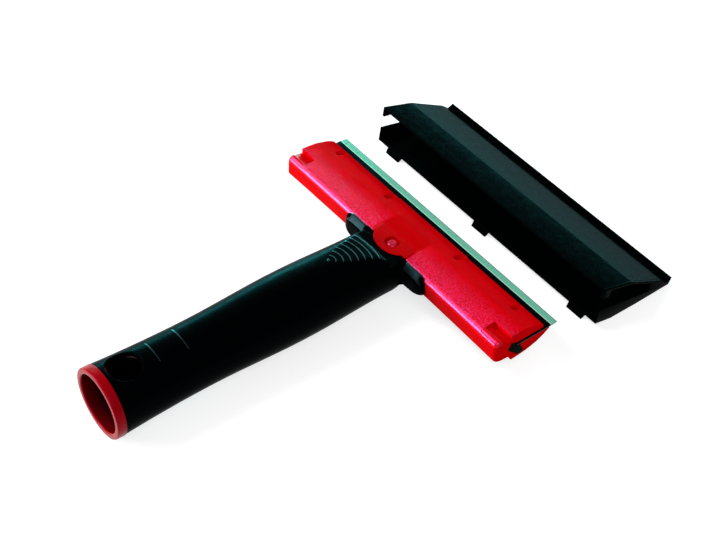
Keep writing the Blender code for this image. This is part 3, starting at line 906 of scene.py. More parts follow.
PINK = (1.0, 0.2, 0.75)
TEAL = (0.3, 0.9, 1.0)
HEAD_RED = PebbledRed("head_red_pebbled", (0.60, 0.0, 0.002), 0.24, 0.000012, PINK, 0.9)
CORE_RED = BoredRed("core_red_moulded", (0.26, 0.0, 0.001), 0.25, 0.00001, PINK, 0.1)
PAD_RED = Finish("pad_red_moulded", (0.42, 0.0, 0.001), 0.34, 0.00001, PINK, 0.01)
STUD_RED = Finish("stud_red_formed", (0.5, 0.0, 0.01), 0.16, 0.000006, (1.0, 0.3, 0.7), 1.0)
GRIP_BLACK = Finish("grip_black_soft", (0.0002, 0.0005, 0.0006), 0.3, 0.00003, TEAL, 0.006)
WING_BLACK = Finish("wing_black_soft", (0.0004, 0.001, 0.0012), 0.4, 0.00003, TEAL, 0.22)
LINE_BLACK = Finish("line_black_soft", (0.001, 0.002, 0.0022), 0.35, 0.00001, TEAL, 0.5)
LINER_BLACK = Finish("liner_black_moulded", (0.0003, 0.0005, 0.0005), 0.55, 0.00001, TEAL, 0.01)
COVER_BLACK = Finish("cover_black_moulded", (0.0002, 0.0006, 0.0007), 0.26, 0.000012, TEAL, 0.004)
BLADE_STEEL = GroundSteel("blade_steel_ground", (0.18, 0.56, 0.40), 0.30, 0.000004, (0.9, 1.0, 0.95), 0.5, 1.0)


@dataclass
class Handle:
    """Red core tube with its collar, and the black soft grip over it.

    Attributes:
        rear_y: where the grip meets the collar.
        end_y: the collar's outer face.
        waist: place and radius of the slim waist.
        bulge: place and radius of the bulge.
        neck: place and radius of the neck.
        rear_r: radius at the collar.
        ramp: places and heights of the thumb ramp.
        ramp_round: how far the ramp's edges are rounded.
        hole_y: the hanging hole's place.
        hole_r: its radius in the grip.
        hole_round: radius of its rim in the grip.
        core_hole_r: its radius in the core.
        block: half the length of the block of faces round the hole.
        wall: thickness of the grip's wall.
        gap: room between the grip and the core.
        neck_end: places and radii of the neck between the wings.
        wing_root: centre (x, y) and reaches (x, y) of the hollow quarter circle at a wing's root.
        wing_tip: where a wing's tip starts along X, and its reaches (x, y).
        wing_rear: height of the wings' rear face.
        wing_top: height of the wings at their front.
        wing_front: the wings' front face.
        wing_corners: radii of their upper and lower corners.
        wing_blend: width of the fillet between wings and neck.
        face: section of a wing's slanted face, (y, z, radius) each.
        face_x: where the face starts and ends along X.
        face_turn: where it starts to turn down, over what radius, and how far forward it moves as it falls.
        lip_edge: section of the lip.
        lip_x: where it starts and ends along X.
        collar_r: the collar's radius.
        collar_round: how far its outer edge is rounded in radius and along Y.
        mouth_r: radius of the bore's mouth.
        mouth_round: how far the mouth's edge is rounded.
        bore: places and radii of the bore.
        tube: places and radii of the core in front of the hole's block.
        dot: place, radius and height of the ramp's dot.
        arcs: how many arcs stand round it, the step of their radii, and how far they may turn in degrees.
        arc_line: width and height of an arc.
        rings: places and turns in degrees of the two arc lines near the mouth.
        ring_line: their width and height.
    """

    rear_y: float = -94.0
    end_y: float = -98.05
    waist: tuple = (-52.0, 14.75)
    bulge: tuple = (-2.0, 16.15)
    neck: tuple = (42.0, 15.1)
    rear_r: float = 16.0
    ramp: tuple = ((-200.0, 60.0), (6.0, 17.6), (14.0, 16.15), (20.0, 15.45), (27.0, 14.3), (34.0, 13.1), (39.2, 11.8),
                   (42.4, 9.7), (44.9, 7.35), (60.0, 7.35))
    ramp_round: float = 0.22
    hole_y: float = -84.6
    hole_r: float = 7.6
    hole_round: float = 0.45
    core_hole_r: float = 7.0
    block: float = 9.0
    wall: float = 1.35
    gap: float = 0.3
    neck_end: tuple = ((45.0, 15.1), (46.9, 14.9), (47.5, 14.6), (49.0, 11.0))
    wing_root: tuple = (18.4, 42.7, 4.4, 4.2)
    wing_tip: tuple = (23.3, 4.8, 2.8)
    wing_rear: float = 4.9
    wing_top: float = 7.35
    wing_front: float = 49.8
    wing_corners: tuple = (3.9, 2.8)
    wing_blend: float = 0.45
    face: tuple = ((47.45, 5.0, 0.4), (49.35, 7.33, 0.5), (50.55, 7.33, 0.25), (50.6, 6.9, 0.1), (49.9, 6.0, 0.1),
                   (49.0, 4.0, 0.1), (47.6, 4.0, 0.1))
    face_x: tuple = (14.3, 27.9)
    face_turn: tuple = (23.2, 4.9, 0.45)
    lip_edge: tuple = ((48.2, 7.31, 0.1), (50.75, 7.31, 0.25), (50.8, 6.9, 0.1), (49.3, 6.0, 0.1), (48.2, 6.4, 0.1))
    lip_x: tuple = (5.0, 14.6)
    collar_r: float = 16.2
    collar_round: tuple = (0.45, 0.95)
    mouth_r: float = 14.05
    mouth_round: float = 0.69
    bore: tuple = ((-97.0, 13.36), (-52.0, 11.9), (8.0, 11.9))
    tube: tuple = ((-52.0, 13.1), (14.0, 13.1), (44.5, 4.5))
    dot: tuple = (17.5, 0.75, 0.4)
    arcs: tuple = (7, 3.3, 74.0)
    arc_line: tuple = (0.55, 0.28)
    rings: tuple = ((-71.1, 24.0), (-58.0, 27.0))
    ring_line: tuple = (0.5, 0.22)

    def radius(self, y: np.ndarray) -> np.ndarray:
        """Radius of the grip: a parabola to the waist, then cosine steps over the bulge to the neck.

        Args:
            y: places along the handle.

        Returns:
            The radius at each.
        """
        behind = (self.waist[0] - y) / (self.waist[0] - self.rear_y)
        rear = self.waist[1] + (self.rear_r - self.waist[1]) * np.clip(behind, 0, 1.2) ** 2
        rise = np.clip((y - self.waist[0]) / (self.bulge[0] - self.waist[0]), 0, 1)
        fall = np.clip((y - self.bulge[0]) / (self.neck[0] - self.bulge[0]), 0, 1)
        middle = self.waist[1] + (self.bulge[1] - self.waist[1]) * cosine_step(rise)
        front = (self.neck[1] - self.bulge[1]) * cosine_step(fall)
        return np.where(y < self.waist[0], rear, middle + front)

    def ramp_height(self, y: np.ndarray) -> np.ndarray:
        """Height of the thumb ramp at places along the handle."""
        return np.interp(y, *np.array(self.ramp).T)

    def body(self, angle: np.ndarray, y: np.ndarray, radius: np.ndarray) -> np.ndarray:
        """Reach of the grip without its wings: the circle, cut by the ramp at height / cos(angle).

        Args:
            angle: angles from straight up.
            y: places along the handle.
            radius: the circle's radius.

        Returns:
            The reach at each angle.
        """
        cut = under_lid(self.ramp_height(y), np.cos(angle))
        return soft_min(radius, np.minimum(cut, 60), self.ramp_round)

    def on_top(self, x: np.ndarray, y: np.ndarray) -> tuple:
        """Points of the grip's top over (x, y), with the directions that stand on it.

        The angle is the one whose sine is x / reach, found by repeating that.

        Args:
            x: places across the handle.
            y: places along it.

        Returns:
            The points and their outward directions.
        """
        def point(angle: np.ndarray, along: np.ndarray) -> np.ndarray:
            """The grip's surface at an angle and a place."""
            reach = self.body(angle, along, self.radius(along))
            return np.stack([reach * np.sin(angle), along, reach * np.cos(angle)], axis=-1)

        angle = np.arcsin(np.clip(x / self.radius(y), -0.99, 0.99))
        for _ in range(12):
            reach = self.body(angle, y, self.radius(y))
            angle = np.arcsin(np.clip(x / reach, -0.99, 0.99))
        small = 0.01
        around = point(angle + small, y) - point(angle - small, y)
        along = point(angle, y + small) - point(angle, y - small)
        normal = np.cross(along, around)
        return point(angle, y), normal / np.linalg.norm(normal, axis=-1, keepdims=True)

    def wing_box(self, angle: np.ndarray, half: np.ndarray, top: np.ndarray, low: np.ndarray) -> np.ndarray:
        """Reach of a box with rounded corners along rays from the axis.

        A ray leaves the box through its side, top or bottom at the least of X/|sin|, top/cos and low/cos, and
        through a corner's arc at c.d + sqrt((c.d)^2 - |c|^2 + r^2) where it meets the corner.

        Args:
            angle: angles from straight up.
            half: the box's half span.
            top: its top.
            low: its bottom, below the axis.

        Returns:
            The reach at each angle.
        """
        side, up = np.abs(np.sin(angle)), np.cos(angle)
        level = np.where(up > 0, top, low) / np.where(np.abs(up) < NO_SLOPE, NO_SLOPE, up)
        reach = np.minimum(half / np.maximum(side, NO_SLOPE), level)
        for sign, edge, radius in zip((1, -1), (top, low), self.wing_corners):
            r = np.minimum(radius, np.minimum(half, np.abs(edge)) * 0.98)
            cx, cz = half - r, edge - sign * r
            dot = cx * side + cz * up
            room = dot ** 2 - cx ** 2 - cz ** 2 + r ** 2
            arc = dot + np.sqrt(np.maximum(room, 0))
            meets = (reach * side > cx) & (sign * (reach * up - cz) > 0) & (room > 0) & (sign * up > 0)
            reach = np.where(meets, np.minimum(arc, reach), reach)
        return reach

    def sheet(self, skin: Skin, angles: np.ndarray, rows: np.ndarray, hole_r: float, span: float,
              rim: float = 0.0) -> tuple:
        """A turned sheet with a round hole in its top, cut by an upright cylinder.

        Away from the hole a point is (r sin a, y, r cos a). The patch between the hole and the block of faces
        that it takes out runs straight in plan from the block's edge to the circle, at height sqrt(r^2 - x^2).

        Args:
            skin: where the points go.
            angles: the columns' angles.
            rows: (radius, y) of each row.
            hole_r: the hole's radius in plan.
            span: half the block's angle in degrees.
            rim: radius of the hole's rounded rim, if it has one.

        Returns:
            The grid of indices and the hole's loop.
        """
        radius, y = rows[:, 0], rows[:, 1]
        points = turned(radius[:, None], y, angles)
        grid = skin.add(points)
        columns = np.flatnonzero(np.abs(angles) <= np.radians(span))
        first, last = columns[0], columns[-1]
        inside = np.flatnonzero(np.abs(y - self.hole_y) <= self.block + 0.01)
        low, high = min(inside), max(inside)
        keep = np.ones((len(y) - 1, len(angles)), bool)
        keep[low:high, first:last] = False
        skin.mesh_grid(grid, keep)
        loop = np.concatenate([grid[low, first:last], grid[low:high, last], grid[high, last:first:-1],
                               grid[high:low:-1, first]])
        flat = points.reshape(-1, 3)[loop - grid[0, 0]][:, :2]
        centre = np.array([0.0, self.hole_y])
        away = (flat - centre) / np.linalg.norm(flat - centre, axis=1)[:, None]
        share = np.linspace(0, 1, 7)[1:, None, None]
        plan = flat[None] + share * (centre + away * (hole_r + rim) - flat)[None]
        drop = np.zeros(len(plan))
        if rim:
            turn = np.linspace(0, pi / 2, 5)[1:]
            reach = hole_r + rim * (1 - np.sin(turn))
            plan = np.concatenate([plan, centre + away[None] * reach[:, None, None]])
            drop = np.concatenate([drop, rim * (1 - np.cos(turn))])
        order = np.argsort(y)
        r = np.interp(plan[..., 1], y[order], radius[order])
        height = np.sqrt(r ** 2 - plan[..., 0] ** 2) - drop[:, None]
        patch = skin.add(np.concatenate([plan, height[..., None]], axis=-1))
        skin.mesh_grid(np.concatenate([loop[None], patch]))
        return grid, patch[-1]

    def block_rows(self) -> np.ndarray:
        """Places of the rows round the hanging hole."""
        return self.hole_y + np.linspace(-self.block, self.block, 19)

    def grip(self) -> bpy.types.Object:
        """The soft grip as one closed skin: outside with wings and ramp, hole, and a bore for the core.

        Returns:
            The piece.
        """
        skin = Skin()
        angles = np.radians(np.concatenate([np.arange(-180, -112, 4), np.arange(-112, -58, 0.75), np.arange(-58, 58, 2),
                                            np.arange(58, 112, 0.75), np.arange(112, 180, 4)]))
        block = self.block_rows()
        plain = np.concatenate([[self.rear_y + 0.06], block, np.arange(-74.5, 14, 1.7), np.arange(14, 42.3, 0.7)])
        rows = np.stack([self.radius(plain), plain], axis=1)
        rear, ahead = rows[:len(block) + 1], rows[len(block) + 1:]
        span = 40.1
        grid, outer_loop = self.sheet(skin, angles, rear, self.hole_r, span, self.hole_round)
        front, front_y = self.front_rows(angles)
        reach = np.concatenate([self.body(angles[None], ahead[:, 1:], ahead[:, :1]), front])
        points = turned(reach, np.concatenate([ahead[:, 1], front_y]), angles)
        body = np.concatenate([grid[-1][None], skin.add(points)])
        skin.mesh_grid(body)
        skin.fan(body[-1], (0, self.wing_front, 1.5))
        inner = rear - [self.wall, 0]
        bore, inner_loop = self.sheet(skin, angles, inner, self.hole_r, span)
        skin.bridge(outer_loop, inner_loop)
        skin.bridge(grid[0], bore[0])
        skin.fan(bore[-1], (0, inner[-1, 1] + 0.5, 0))
        return skin.finish("grip", 40)

    def front_rows(self, angles: np.ndarray) -> tuple:
        """Rows of the neck and wings.

        The plan of the wings is a hollow quarter circle from the neck, a straight rear face and a tip that
        curves forward as a quarter ellipse; their top rises towards the front, and a flat lid ends it.

        Args:
            angles: the columns' angles.

        Returns:
            The reach of each row and the rows' places.
        """
        root_x, root_y, root_wide, root_long = self.wing_root
        tip_x, tip_wide, tip_long = self.wing_tip
        root = np.linspace(pi, pi / 2, 9)[:-1]
        tip = np.linspace(0, pi / 2, 11)
        half = np.concatenate([root_x + root_wide * np.cos(root), [root_x, 20.8], tip_x + tip_wide * np.sin(tip)])
        y = np.concatenate([root_y + root_long * np.sin(root), [46.9, 46.95], self.wing_front - tip_long * np.cos(tip)])
        top = np.interp(y, [47.5, 49.35], [self.wing_rear, 7.1])
        low = -np.concatenate([3.0 - 3.0 * np.cos(root), [2.95, 2.9], 2.75 + 0.35 * np.sin(tip)])
        circle = np.interp(y, *np.array(self.neck_end).T)
        along, half, top, low, circle = (v[:, None] for v in (y, half, top, low, circle))
        neck = self.body(angles[None], along, circle)
        wings = self.wing_box(angles[None], half, top, low)
        lid = under_lid(self.wing_top + 0.02, np.cos(angles))
        return np.minimum(soft_max(neck, wings, self.wing_blend), lid[None]), y

    def wing_faces(self) -> bpy.types.Object:
        """The wings' slanted upper rear faces, which end in a flat edge over the head's rear edge.

        Past |x| = s the face falls by r - sqrt(r^2 - d^2), and moves forward by a share of that.

        Returns:
            The piece.
        """
        skin = Skin()
        section = rounded(self.face, 4)
        start, radius, forward = self.face_turn
        for side in BOTH_SIDES:
            low, high = sorted(side * x for x in self.face_x)
            points = bar(section, (low, high), np.linspace(low + 1, high - 1, 24), 0.5)
            fall = edge_fall(np.clip(np.abs(points[..., 0]) - start, 0, radius - 0.1), radius)
            points[..., 2] -= fall
            points[..., 1] += forward * fall * (points[..., 1] < 50.2)
            skin.carry(points)
        return skin.finish("wing_faces", 30)

    def lip(self) -> bpy.types.Object:
        """The lip between the wings and the tongue: its section carried along X on both sides.

        Returns:
            The piece.
        """
        skin = Skin()
        section = rounded(self.lip_edge, 4)
        for side in BOTH_SIDES:
            low, high = sorted(side * x for x in self.lip_x)
            skin.carry(bar(section, (low, high), np.linspace(low + 1, high - 1, 3), 0.3))
        return skin.finish("grip_lip", 30)

    def core(self) -> bpy.types.Object:
        """The red core: collar with a rounded rim, tube, hanging hole and bore, as one closed skin.

        Returns:
            The piece.
        """
        skin = Skin()
        angles = np.radians(np.arange(-180, 180, 2.5))
        turn = np.linspace(0, pi / 2, 7)
        out, back = self.collar_round
        rim = np.stack([self.collar_r - out * (1 - np.sin(turn)), self.end_y + back * (1 - np.cos(turn))], axis=1)
        block = self.block_rows()
        under = np.stack([self.radius(block) - self.wall - self.gap, block], axis=1)
        outside = np.concatenate([[[self.mouth_r, self.end_y]], rim, [[self.collar_r, self.rear_y]],
                                  [[under[0, 0], self.rear_y]], under, np.array(self.tube)[:, ::-1]])
        span = 42.6
        outer, outer_loop = self.sheet(skin, angles, outside, self.core_hole_r, span)
        edge = self.mouth_round
        mouth = np.stack([self.mouth_r - edge * np.sin(turn), self.end_y + edge * (1 - np.cos(turn))], axis=1)[1:]
        bore = np.stack([np.interp(block, *np.array(self.bore).T), block], axis=1)
        inside = np.concatenate([mouth, bore, np.array(self.bore)[1:, ::-1]])
        inner, inner_loop = self.sheet(skin, angles, inside, self.core_hole_r, span)
        skin.bridge(outer_loop, inner_loop)
        skin.bridge(outer[0], inner[0])
        skin.fan(outer[-1], (0, self.tube[-1][0], 0))
        skin.fan(inner[-1], (0, self.bore[-1][0], 0))
        return skin.finish("core", 32)

    def raised_line(self, skin: Skin, x: np.ndarray, y: np.ndarray, width: float, height: float) -> None:
        """A thin line that stands on the grip's top.

        Its section is half an ellipse: across * w/2 cos b + up * h sin b, drawn in to nothing at both ends.

        Args:
            skin: where it goes.
            x: its path across the handle.
            y: its path along the handle.
            width: its width.
            height: how far it stands out.
        """
        path, up = self.on_top(x, y)
        tangent = np.gradient(path, axis=0)
        tangent /= np.linalg.norm(tangent, axis=1, keepdims=True)
        across = np.cross(tangent, up)
        turn = np.radians(np.arange(-30, 211, 24))
        share = np.linspace(0, 1, len(x))
        taper = np.sqrt(np.clip(np.minimum(share, 1 - share) / 0.06, 0.02, 1))
        offset = (across[:, None] * (width / 2 * np.cos(turn))[None, :, None]
                  + up[:, None] * (height * np.sin(turn))[None, :, None])
        skin.carry(path[:, None] + offset * taper[:, None, None])

    def raised_lines(self) -> bpy.types.Object:
        """Seven arcs and a dot on the thumb ramp, and two arc lines near the mouth.

        Each arc is a circle about the dot, as far as the ramp's flat reaches, and the dot is a low dome.

        Returns:
            The piece.
        """
        skin = Skin()
        dot_y, dot_r, dot_high = self.dot
        count, step, most = self.arcs
        for radius in step * np.arange(1, count + 1):
            turn = np.linspace(0, np.radians(most), 400)
            x, y = radius * np.sin(turn), dot_y + radius * np.cos(turn)
            flat = np.sqrt(np.maximum(self.radius(y) ** 2 - self.ramp_height(y) ** 2, 0))
            over = np.flatnonzero(x > flat + 0.4)
            end = turn[over[0]] if len(over) else turn[-1]
            sweep = np.linspace(-end, end, 64)
            self.raised_line(skin, radius * np.sin(sweep), dot_y + radius * np.cos(sweep), *self.arc_line)
        for place, reach in self.rings:
            sweep = np.radians(np.linspace(-reach, reach, 48))
            y = np.full(48, place)
            self.raised_line(skin, self.radius(y) * np.sin(sweep), y, *self.ring_line)
        path, _ = self.on_top(np.array([0.0]), np.array([dot_y]))
        ring = np.radians(np.arange(0, 360, 20))
        rise = np.linspace(0, pi / 2, 6)[:-1, None]
        sunk = 0.1
        dome = np.stack([dot_r * np.cos(rise) * np.cos(ring), dot_r * np.cos(rise) * np.sin(ring),
                         dot_high * np.sin(rise) - sunk + 0 * ring], axis=-1)
        grid = skin.add(path[0] + dome)
        skin.mesh_grid(grid)
        skin.cap(grid[0])
        skin.fan(grid[-1], tuple(path[0] + np.array([0, 0, dot_high - sunk])))
        return skin.finish("grip_lines", 60)

    def build(self) -> None:
        """Makes the handle's pieces."""
        place_piece(self.core(), Body.SCRAPER, "core_red", CORE_RED, "handle_core")
        place_piece(self.grip(), Body.SCRAPER, "grip_black", GRIP_BLACK, "grip_sleeve")
        place_piece(self.wing_faces(), Body.SCRAPER, "grip_black", WING_BLACK)
        place_piece(self.lip(), Body.SCRAPER, "grip_black", GRIP_BLACK)
        place_piece(self.raised_lines(), Body.SCRAPER, "grip_black", LINE_BLACK)


@dataclass
class Head:
    """Red head with its tongue and stud, and the black liner in its slot.

    Attributes:
        half: half the head's length.
        corner: radius of its rear corners in plan.
        end_round: radius of its ends' edges.
        rear_round: radius by which its rear edge falls at the ends.
        rear_shape: places along Y between which the shape of the rear wall fades out.
        bow: how far the rear wall moves forward in its middle, and how much more at its foot.
        foot: height where that foot starts, and over what drop.
        upper: the upper jaw's corners from the rear to the slot, (y, z, radius) each.
        lower: the lower jaw's corners from the slot to the rear.
        step: half width of the front's middle, where its step ends, and how far it stands out.
        step_y: where along Y that step starts.
        pocket_x: where the end pockets start.
        pocket_y: the pockets' front wall.
        pocket_z: the pockets' floor at that wall.
        pocket_rear: place and height where the floor meets the head's top.
        grooves: places of the four short grooves along X.
        groove: half width, rear end and floor of a groove.
        stud: the stud's place.
        stud_r: radii of its head, its shank and its foot.
        stud_seat: how far its head's seat is under the tongue's top.
        stud_high: height of its head.
        stud_foot: heights of its foot's underside and top.
        stud_dish: radii and depths of the dish in its head.
        recess: radius and depth of the recess round it.
        sink: depth and reach of the hollow under the recess.
        tongue_top: height of the tongue's top.
        tongue_fall: places along Y, and how far the top is above or below that height there.
        tongue_edge: radius of its rim's edge.
        tongue_arcs: centre along Y and radius of the two circles of its rear end.
        tongue_box: half width, rear and front of its wide part.
        slit: half height, rear and front of the liner's slit for the blade.
    """

    half: float = 74.6
    corner: float = 1.8
    end_round: float = 0.3
    rear_round: float = 1.6
    rear_shape: tuple = (52.0, 60.0)
    bow: tuple = (0.35, 0.5)
    foot: tuple = (3.9, 5.3)
    upper: tuple = ((49.3, 6.9, 3.0), (58.3, 7.35, 14.0), (66.1, 6.8, 14.0), (73.9, 4.6, 16.0), (77.3, 2.6, 0.35),
                    (77.3, 1.03, 0.2))
    lower: tuple = ((81.2, -1.23, 0.1), (81.4, -1.6, 0.2), (78.8, -3.7, 6.0), (74.1, -6.3, 9.0), (68.4, -7.8, 9.0),
                    (63.8, -8.4, 6.0), (60.0, -8.6, 0.3), (57.8, -5.5, 0.5), (52.2, -5.2, 1.5), (50.5, -4.5, 1.2),
                    (49.3, -2.7, 0.8))
    step: tuple = (24.1, 24.5, 0.32)
    step_y: float = 76.8
    pocket_x: float = 64.0
    pocket_y: float = 58.1
    pocket_z: float = 4.4
    pocket_rear: tuple = (52.4, 6.95)
    grooves: tuple = (-63.3, -26.0, 23.5, 61.4)
    groove: tuple = (1.4, 70.6, 2.9)
    stud: tuple = (0.4, 53.1)
    stud_r: tuple = (2.6, 1.3, 2.5)
    stud_seat: float = 1.5
    stud_high: float = 1.2
    stud_foot: tuple = (-4.8, -4.0)
    stud_dish: tuple = ((1.2, 0.05), (0.8, 0.3), (0.4, 0.4))
    recess: tuple = (3.2, 1.6)
    sink: tuple = (2.4, 4.0)
    tongue_top: float = 7.5
    tongue_fall: tuple = ((46.0, 0.06), (50.0, 0.0), (54.0, -0.08), (57.3, -0.17), (57.8, -0.28), (58.6, -0.6))
    tongue_edge: float = 0.35
    tongue_arcs: tuple = ((63.1, 16.9), (57.6, 11.9))
    tongue_box: tuple = (11.8, 50.8, 58.4)
    slit: tuple = (0.33, 61.9, 81.4)

    def liner_section(self, gap: float) -> list:
        """Corners of the liner's section, grown by a gap, from its front round the bead.

        Args:
            gap: how much larger it is on all sides.

        Returns:
            The corners, (y, z, radius) each.
        """
        return [(62.2, 0.95 + gap, 1.2), (58.6, 2.4 + gap, 0.5), (56.9 - gap, 0.0, 0.8), (57.5 - gap, -1.4, 0.6),
                (63.6 - gap, -7.2 - gap, 0.4), (66.3 + gap, -7.2 - gap, 0.4), (66.7 + gap, -6.1, 0.4),
                (64.0 + gap, -1.15 - gap, 0.8)]

    def section(self) -> np.ndarray:
        """The head's section, with the slot and the bead's room open to the front, closely set on its upper side.

        Returns:
            The outline.
        """
        outline = refined(rounded([*self.upper, *self.liner_section(0.08), *self.lower], 6), 1.1)
        wall = self.pocket_y + np.array([-0.6, -0.3, -0.12, -0.04, 0.04, 0.12, 0.3])
        return self.with_places(outline, np.concatenate([wall, np.arange(52.6, 57.5, 0.6), np.arange(70.2, 76.4, 0.2)]))

    def stations(self) -> np.ndarray:
        """Stations along X, close together at the corners, the pockets' walls and the grooves.

        Returns:
            The places, in order.
        """
        marks = np.array(self.grooves)[:, None] + np.arange(-1.6, 1.61, 0.16)
        walls = self.pocket_x + np.array([-0.25, -0.12, -0.05, 0.0, 0.05, 0.12])
        corners = self.half - np.array([2.5, 2.1, 1.7, 1.3, 1.0, 0.7, 0.5])
        close = np.concatenate([marks.ravel(), walls, -walls, corners, -corners])
        return np.unique(np.round(np.concatenate([np.arange(-71.5, 71.6, 1.3), close]), 3))

    def body(self) -> bpy.types.Object:
        """The head's moulding: its section carried along X and shaped by where each point lies.

        The rear wall moves forward by R - sqrt(R^2 - (|x| - x0)^2) at the corners, and by a share of
        1 - (x/half)^2 in the middle, most at its foot, and the front's middle stands out by a step. A pocket's
        floor is a plane that rises to the rear until it meets the top, the rear edge falls by
        r - sqrt(r^2 - d^2) at the ends, and a groove's floor runs forward until the slope falls below it.
        Under the recess the top sinks by a e^(-(d/b)^4), so that the tongue covers it.

        Returns:
            The piece.
        """
        points = bar(self.section(), (-self.half, self.half), self.stations(), self.end_round)
        x, y, z = points[..., 0], points[..., 1], points[..., 2]
        size = np.abs(x)
        corner = edge_fall(np.clip(size - (self.half - self.corner), 0, self.corner), self.corner)
        foot = np.clip((self.foot[0] - z) / self.foot[1], 0, 1)
        bow = (1 - np.clip(size / self.half, 0, 1) ** 2) * (self.bow[0] + self.bow[1] * foot)
        y = y + (1 - fade(*self.rear_shape, y)) * (corner + bow)
        middle, middle_end, out = self.step
        y = y + np.where((y > self.step_y) & (z > 0.5), out * (1 - fade(middle, middle_end, size)), 0)
        top = (z > 0.5 + 0.05 * (60 - y)) & (z > 2.8)
        slope = (self.pocket_rear[1] - self.pocket_z) / (self.pocket_y - self.pocket_rear[0])
        floor = self.pocket_z + slope * (self.pocket_y - y)
        within = fade(self.pocket_x - 0.06, self.pocket_x + 0.06, size) * (y < self.pocket_y)
        z = np.where(top & (within > 0) & (floor < z), z + (floor - z) * within, z)
        past = np.clip(size - (self.half - self.rear_round), 0, self.rear_round)
        z = z - np.where(top, (1 - fade(53.0, 58.0, y)) * edge_fall(past, self.rear_round), 0)
        half, start, level = self.groove
        for place in self.grooves:
            off = np.hypot(x - place, np.clip(start + half - y, 0, None)) / half
            wanted = level - 1.0 * (1 - fade(start, start + 1.8, y)) + 7.0 * np.clip(off - 0.82, 0, 1)
            z = np.where(top & (y > 69) & (off < 1.35), soft_min(z, wanted, 0.05), z)
        under = np.hypot(x - self.stud[0], y - self.stud[1])
        z = np.where(top & (y < 60), z - self.sink[0] * np.exp(-(under / self.sink[1]) ** 4), z)
        skin = Skin()
        skin.carry(np.stack([x, y, z], axis=-1))
        return skin.finish("head", 34)

    def with_places(self, outline: np.ndarray, places: np.ndarray) -> np.ndarray:
        """Adds points to the outline's upper side at these places along Y.

        Args:
            outline: the closed outline.
            places: where points are wanted.

        Returns:
            The outline with the added points.
        """
        ahead = np.roll(outline, -1, axis=0)
        upper = (outline[:, 1] > 3.0) & (ahead[:, 1] > 3.0)
        low = np.minimum(outline[:, 0], ahead[:, 0])[:, None]
        high = np.maximum(outline[:, 0], ahead[:, 0])[:, None]
        side, which = np.nonzero(upper[:, None] & (places[None] > low + 0.01) & (places[None] < high - 0.01))
        start, stop, at = outline[side], ahead[side], places[which]
        share = (at - start[:, 0]) / (stop[:, 0] - start[:, 0])
        added = start + share[:, None] * (stop - start)
        order = np.concatenate([np.arange(len(outline)), side + share])
        return np.concatenate([outline, added])[np.argsort(order, kind="stable")]

    def tongue(self) -> bpy.types.Object:
        """The tongue: a flat plate about the stud's recess, round at the rear and sunk into the head in front.

        In plan it runs from the recess straight out to its rim. The recess' wall is a smooth step in height,
        and the rim's edge is a quarter circle.

        Returns:
            The piece.
        """
        skin = Skin()
        turn = np.radians(np.arange(0, 360, 2.0))
        centre = np.array(self.stud)
        recess, depth = self.recess
        edge = self.tongue_edge
        away = np.stack([np.sin(turn), -np.cos(turn)], axis=1)
        rim = self.tongue_reach(away, centre)[None]
        wide = 1.2
        out = np.concatenate([[0.5, 0.92, 0.97, 1.0, 1.03, 1.09, wide], np.linspace(1.4, 3.4, 6)])[:, None]
        share = np.clip((out - wide) / 2.2, 0, 1)
        flat = np.where(out <= wide, recess * out, recess * wide + (rim - edge - recess * wide) * share)
        bend = np.linspace(0, pi / 2, 5)[1:, None]
        distance = np.concatenate([flat, rim - edge + edge * np.sin(bend), rim])
        sinks = [depth * (1 - fade(0.93, 1.06, out)), edge * (1 - np.cos(bend)), np.array([[2.0]])]
        plan = centre + distance[..., None] * away[None]
        places, above = np.array(self.tongue_fall).T
        height = np.interp(plan[..., 1], places, above + self.tongue_top) - np.concatenate(sinks)
        grid = skin.add(np.concatenate([plan, height[..., None]], axis=-1))
        skin.mesh_grid(grid)
        skin.fan(grid[0], (centre[0], centre[1], self.tongue_top - 0.14 - depth))
        skin.fan(grid[-1], (centre[0], centre[1], self.tongue_top - 2.2))
        return skin.finish("head_tongue", 40)

    def tongue_reach(self, away: np.ndarray, centre: np.ndarray) -> np.ndarray:
        """Distance from the stud to the tongue's rim.

        The tongue is what two circles share, cut off by a box's front, together with that box, which runs into
        the head's top.

        Args:
            away: directions in plan.
            centre: the stud's place.

        Returns:
            The distance in each direction.
        """
        def reach(middle: float, radius: float) -> np.ndarray:
            """Distance to a circle from inside.

            Args:
                middle: the circle's centre along Y.
                radius: its radius.

            Returns:
                The distance in each direction.
            """
            toward = np.array([0.0, middle]) - centre
            along = away @ toward
            return along + np.sqrt(np.maximum(along ** 2 - toward @ toward + radius ** 2, 0))

        wide, rear, front = self.tongue_box
        ahead, behind = front - centre[1], centre[1] - rear
        first, last = self.tongue_arcs
        disc = soft_min(reach(*first), reach(*last), 0.25)
        disc = np.minimum(disc, ahead / np.maximum(away[:, 1], NO_SLOPE))
        side = wide / np.maximum(np.abs(away[:, 0]), NO_SLOPE)
        plate = np.minimum(side, np.where(away[:, 1] > 0, ahead, behind) / np.maximum(np.abs(away[:, 1]), NO_SLOPE))
        return np.maximum(disc, plate)

